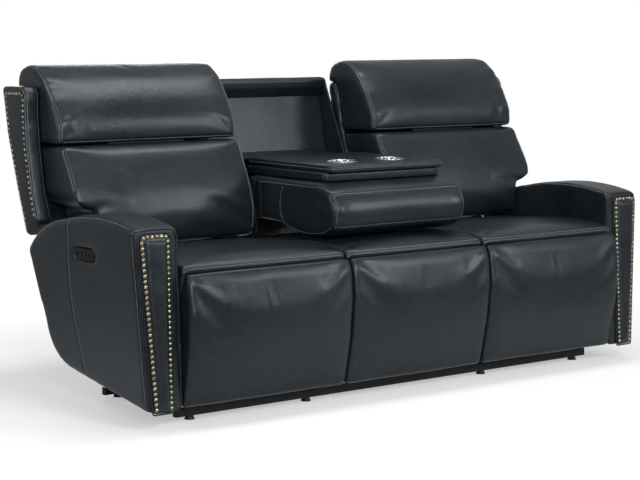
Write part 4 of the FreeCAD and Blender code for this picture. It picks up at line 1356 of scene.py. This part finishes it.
def console_form():
    """The console's padded body before its stuffing."""
    piece = made("console_body_leather",
                 lofted(rounded(CONSOLE, CONSOLE_RADII), soft_stations(-CONSOLE_HALF, CONSOLE_HALF, 9, 16),
                        (562, 640)))
    revoxelled(piece, 9)
    held = [[(150, 712), (562, 712)], [(562, 712), (556, 566)], [(240, 534), (372, 562), (556, 566)]]
    rim = [(131, 710), (88, 690), (56, 622), (70, 568), (120, 542), (228, 532)]
    stuff(piece, held, 7, [(-CONSOLE_HALF + 6, rim, 6), (CONSOLE_HALF - 6, rim, 6)], 3.0, 10,
          (-CONSOLE_HALF - 0.3, CONSOLE_HALF + 0.3))
    return piece


CUP_SPACING, CUP_Y, CUP_BORE, CUP_DEPTH = 210.0, 250.0, 44.9, 68.0
TRAY_LOW, TRAY_MIDDLE, TRAY_TOP = 712.5, 743.5, 770.0
TRAY_REAR = 608.0


def bored(piece, low, high, radius):
    """Bore the two cup holes through a piece."""
    block = bmesh.new()
    for side in (-1, 1):
        place = Matrix.Translation(spot(side * CUP_SPACING / 2, CUP_Y, (low + high) / 2))
        bmesh.ops.create_cone(block, cap_ends=True, segments=64, radius1=radius * MM, radius2=radius * MM,
                              depth=(high - low) * MM, matrix=place)
    cut_out(piece, block)


def finish_console(piece):
    """Seams and stitching of the console's body."""
    refined(piece)
    undulate(piece, 21, 1.5, 160)
    points = in_mm(points_of(piece.data))
    fuller = np.clip((465 - points[:, 1]) / 120, 0, 1)
    fuller = fuller * np.clip(np.abs(points[:, 0]) / CONSOLE_HALF, 0, 1) ** 8
    points[:, 0] += np.sign(points[:, 0]) * CONSOLE_BULGE * fuller
    put_points(piece.data, out_of_mm(points))
    crease(piece, [((-262, 56, 668), (-258, 52, 580), 24, 5.0), ((-284, 150, 640), (-284, 90, 600), 26, 3.0),
                   ((-240, 60, 600), (-215, 52, 578), 8, -1.6), ((262, 56, 660), (258, 52, 590), 20, 3.0)])
    half = CONSOLE_HALF
    top = [spot(x, 72, 678) for x in np.linspace(-half + 12, half - 12, 12)]
    foot = [spot(x, 62, 566) for x in np.linspace(-half + 12, half - 12, 12)]
    seams = [seam(top, 2.0, 3.4, 1.0), seam(foot, 2.0, 3.4, 1.0)]
    for side in (-1, 1):
        x = side * (half - 3)
        corner = [spot(x, 74, 680), spot(x, 56, 640), spot(x, 56, 600), spot(x, 66, 564)]
        bow = [spot(side * half, y, z) for y, z in CONSOLE_BOW]
        brow = [spot(side * half, y, z) for y, z in ((556, 692), (320, 692), (130, 692), (84, 682))]
        seams += [seam(corner, 2.2, 3.4, 1.2), seam(bow, 1.4, 3.0, 0.5), seam(brow, 1.6, 3.0, 0.4)]
    runs = sew(piece, seams)
    rows = [(run, 4) for run in runs[:2]] + [(run, 3.6) for run in runs[2:]]
    stitched("console_stitching", piece, rows, "console", THREAD)
    bored(piece, TRAY_TOP - CUP_DEPTH - 1, 800, CUP_BORE)
    dress(piece, LEATHER, "console")
    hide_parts("console_body")


def tray_layer(name, half, front, low, high, seed):
    """One padded layer of the console's tray."""
    bm = bmesh.new()
    corners = [(-half, front), (half, front), (half, TRAY_REAR), (-half, TRAY_REAR)]
    outline = rounded(corners, [24, 24, 6, 6], 6)
    ring = [bm.verts.new(spot(x, y, low)) for x, y in outline]
    face = bm.faces.new(ring)
    grown = bmesh.ops.extrude_face_region(bm, geom=[face])
    verts = [item for item in grown["geom"] if isinstance(item, bmesh.types.BMVert)]
    bmesh.ops.translate(bm, verts=verts, vec=(0, 0, (high - low) * MM))
    bmesh.ops.recalc_face_normals(bm, faces=bm.faces[:])
    rims = [e for e in bm.edges if abs(e.verts[0].co.z - e.verts[1].co.z) < 1e-6]
    bmesh.ops.bevel(bm, geom=rims, offset=6 * MM, offset_type="OFFSET", segments=3, profile=0.5,
                    affect="EDGES", clamp_overlap=True, material=-1)
    piece = made(name, bm)
    revoxelled(piece, 5)
    undulate(piece, seed, 0.8, 90)
    return piece


def console_tray():
    """The two layers of the tray, with the groove between them."""
    lower = tray_layer("console_tray_base", 255, 147, TRAY_LOW, TRAY_MIDDLE + 1, 31)
    upper = tray_layer("console_tray_lid", 248, 122, TRAY_MIDDLE, TRAY_TOP, 33)
    for piece in (lower, upper):
        bored(piece, 690, 800, CUP_BORE)
    run = [spot(-247, TRAY_REAR - 10, 757), spot(-247, 140, 757), spot(-236, 124, 757), spot(236, 124, 757),
           spot(247, 140, 757), spot(247, TRAY_REAR - 10, 757)]
    lines = sew(upper, [seam(run, 0.8, 2.2, 0.3)], fine=False)
    stitched("console_tray_stitching", upper, [(lines[0], 0)], "console", THREAD)
    for piece in (lower, upper):
        dress(piece, LEATHER, "console")
    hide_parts("console_tray")


def console_flap():
    """The strip of leather that bridges from the tray to the recess panel."""
    line = rounded([(596, 768), (700, 757), (843, 768), (846, 764), (700, 753), (596, 764)],
                   [1, 200, 1, 1, 200, 1])
    stations = [(-246, 0.4), (-244, 0), (-120, 0), (0, 0), (120, 0), (244, 0), (246, 0.4)]
    flap = made("console_flap", lofted(line, stations))
    flap.data.materials.append(LEATHER)
    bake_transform(flap)


def spun(name, profile, centre, segments=64):
    """A closed turned piece from its (radius, height) profile."""
    bm = bmesh.new()
    verts = [bm.verts.new(centre + Vector((r * MM, 0, z * MM))) for r, z in profile]
    edges = [bm.edges.new(pair) for pair in zip(verts[:-1], verts[1:])]
    bmesh.ops.spin(bm, geom=verts + edges, cent=centre, axis=(0, 0, 1), angle=2 * math.pi,
                   steps=segments, use_merge=True)
    bmesh.ops.remove_doubles(bm, verts=bm.verts[:], dist=1e-5)
    bmesh.ops.recalc_face_normals(bm, faces=bm.faces[:])
    return made(name, bm)


def cup_holders():
    """Chrome cup holders with a raised inner ring."""
    first = None
    for name, side in SIDES:
        centre = spot(side * CUP_SPACING / 2, CUP_Y, TRAY_TOP)
        profile = [(0, -CUP_DEPTH), (42, -CUP_DEPTH), (44.2, -CUP_DEPTH + 3), (44.2, 0.2), (56.5, 0.2),
                   (57, 1.2), (56, 2.6), (52, 3.6), (48.5, 3.2), (47.5, 4.4), (45.5, 5.2), (43.4, 4.2),
                   (42.8, 1.0),
                   (42.6, -CUP_DEPTH + 6), (39, -CUP_DEPTH + 1.8), (0, -CUP_DEPTH + 1.6)]
        cup = spun(name + "_cup_holder", profile, centre)
        dress(cup, CHROME, "console")
        first = first or cup
    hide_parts("cup_holders")


# ---------------------------------------------------------------- middle back and back shells

def wrapped(name, outline, low, high, voxel, soften, seed):
    """A flat leather-wrapped panel between two x."""
    stations = [(low, soften), (low + soften * 0.4, soften * 0.25), (low + soften, 0),
                (high - soften, 0), (high - soften * 0.4, soften * 0.25), (high, soften)]
    piece = made(name, lofted(outline, stations))
    revoxelled(piece, voxel)
    undulate(piece, seed, 0.8, 110)
    return piece


def middle_back():
    """The recess behind the console: side panels, panel and the bar over it."""
    jamb = rounded([(520, 395), (640, 520), (749, 763), (860, 1006), (872, 1036), (906, 1038), (914, 1004),
                    (786, 372), (600, 340), (520, 356)], [2, 60, 60, 20, 14, 16, 16, 30, 30, 2])
    for name, side in SIDES:
        low, high = sorted((side * 293.2, side * 301))
        piece = wrapped(name + "_middle_side_leather", jamb, low, high, 4, 2.2, 40 + side)
        dress(piece, LEATHER, "base")
        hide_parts(name + "_middle_side_panel")
    board = rounded([(763, 397), (896, 984), (912, 984), (779, 397)], [3] * 4)
    panel = wrapped("recess_panel_leather", board, -294, 294, 6, 4, 44)
    rows = [[spot(x, 763 + (z - 397) * 129 / 569, z) for z in (420, 600, 800, 960)] for x in (-286, 286)]
    sew(panel, [seam(row, 0.8, 2.6, 0.3) for row in rows], fine=False)
    dress(panel, LEATHER, "base")
    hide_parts("recess_panel")
    profile = rounded([(889, 966.5), (912, 966.5), (918, 1010), (906, 1034), (880, 1040), (864, 1028),
                       (868, 1001)], [2, 10, 16, 16, 10, 10, 4])
    bar = wrapped("middle_top_bar_leather", profile, -293, 293, 4, 4, 46)
    dress(bar, LEATHER, "base")
    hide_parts("middle_top_bar")


SHELL_REAR = ((690, 400), (784, 695), (838, 850), (873, 1026))
SHELL_DEPTH = 58.0


def back_shell(name, side):
    """The upholstered outer back of one seat."""
    outline = list(SHELL_REAR) + [(y - SHELL_DEPTH, z) for y, z in reversed(SHELL_REAR)]
    outline = rounded(outline, [14, 200, 300, 16, 16, 300, 200, 14])
    low, high = sorted((side * BACK_INNER, side * WING_INNER))
    stations = [(low, 4), (low + 2, 1.5), (low + 6, 0), (high - 6, 0), (high - 2, 1.5), (high, 4)]
    piece = made(name + "_back_shell_leather", lofted(outline, stations))
    cut_away(piece, side * (SEAT_OUTER - SEAM_GAP), side * (WING_INNER + 20), 560)
    revoxelled(piece, 13)
    refined(piece)
    undulate(piece, 50 + side, 1.6, 200)
    lines = [[spot(side * x, y + 1, z) for y, z in SHELL_REAR] for x in (480, 858)]
    runs = sew(piece, [seam(line, 1.6, 3.2, 0.5) for line in lines])
    stitched(name + "_back_shell_stitching", piece, doubled(runs[0], 4) + doubled(runs[1], 4),
             name + "_back", THREAD)
    dress(piece, LEATHER, name + "_back")
    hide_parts(name + "_back_shell")


# ---------------------------------------------------------------- all together

def upholster():
    """Make, stuff, sew and place every soft piece."""
    gap = SEAM_GAP
    left_seat = seat_form("left_seat_leather", -SEAT_OUTER + gap, -MIDDLE_HALF - gap)
    middle_seat = seat_form("middle_seat_leather", -MIDDLE_HALF + gap, MIDDLE_HALF - gap)
    left_pad = pad_form("left_footrest_leather", -SEAT_OUTER + 0.6, -MIDDLE_HALF - gap, PAD_REST[0])
    middle_pad = pad_form("middle_front_leather", -MIDDLE_HALF + gap, MIDDLE_HALF - gap, PAD_REST[1])
    left_back = back_form()
    left_head = head_form()
    left_wing = wing_form()
    console = console_form()
    left_arm = arm_form()
    run_stuffing()
    right_seat = mirrored(left_seat, "right_seat_leather")
    right_pad = mirrored(left_pad, "right_footrest_leather")
    right_back = mirrored(left_back, "right_back_cushion_leather")
    right_head = mirrored(left_head, "right_headrest_leather")
    right_wing = mirrored(left_wing, "right_wing_leather")
    right_arm = mirrored(left_arm, "right_arm_leather")

    outer, inner = SEAT_OUTER - gap, MIDDLE_HALF + gap
    finish_seat(left_seat, "left", -outer, -inner, "left_footrest", left_pad, 1)
    finish_seat(middle_seat, "middle", -MIDDLE_HALF + gap, MIDDLE_HALF - gap, "base", middle_pad, 2)
    finish_seat(right_seat, "right", inner, outer, "right_footrest", right_pad, 3)
    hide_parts("left_footrest_pad")
    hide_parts("middle_front_panel")
    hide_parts("right_footrest_pad")
    finish_back("left", -1, left_back, left_head, 11)
    finish_back("right", 1, right_back, right_head, 14)
    finish_wing("left", -1, left_wing, 17)
    finish_wing("right", 1, right_wing, 18)
    finish_arm("left", -1, left_arm, 23)
    finish_arm("right", 1, right_arm, 26)
    panels = [front_panel(name, side) for name, side in SIDES]
    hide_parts("arm_front_panels")
    finish_console(console)
    console_tray()
    console_flap()
    cup_holders()
    middle_back()
    for name, side in SIDES:
        back_shell(name, side)


photographer()
studio()
finish_nodes()
upholster()
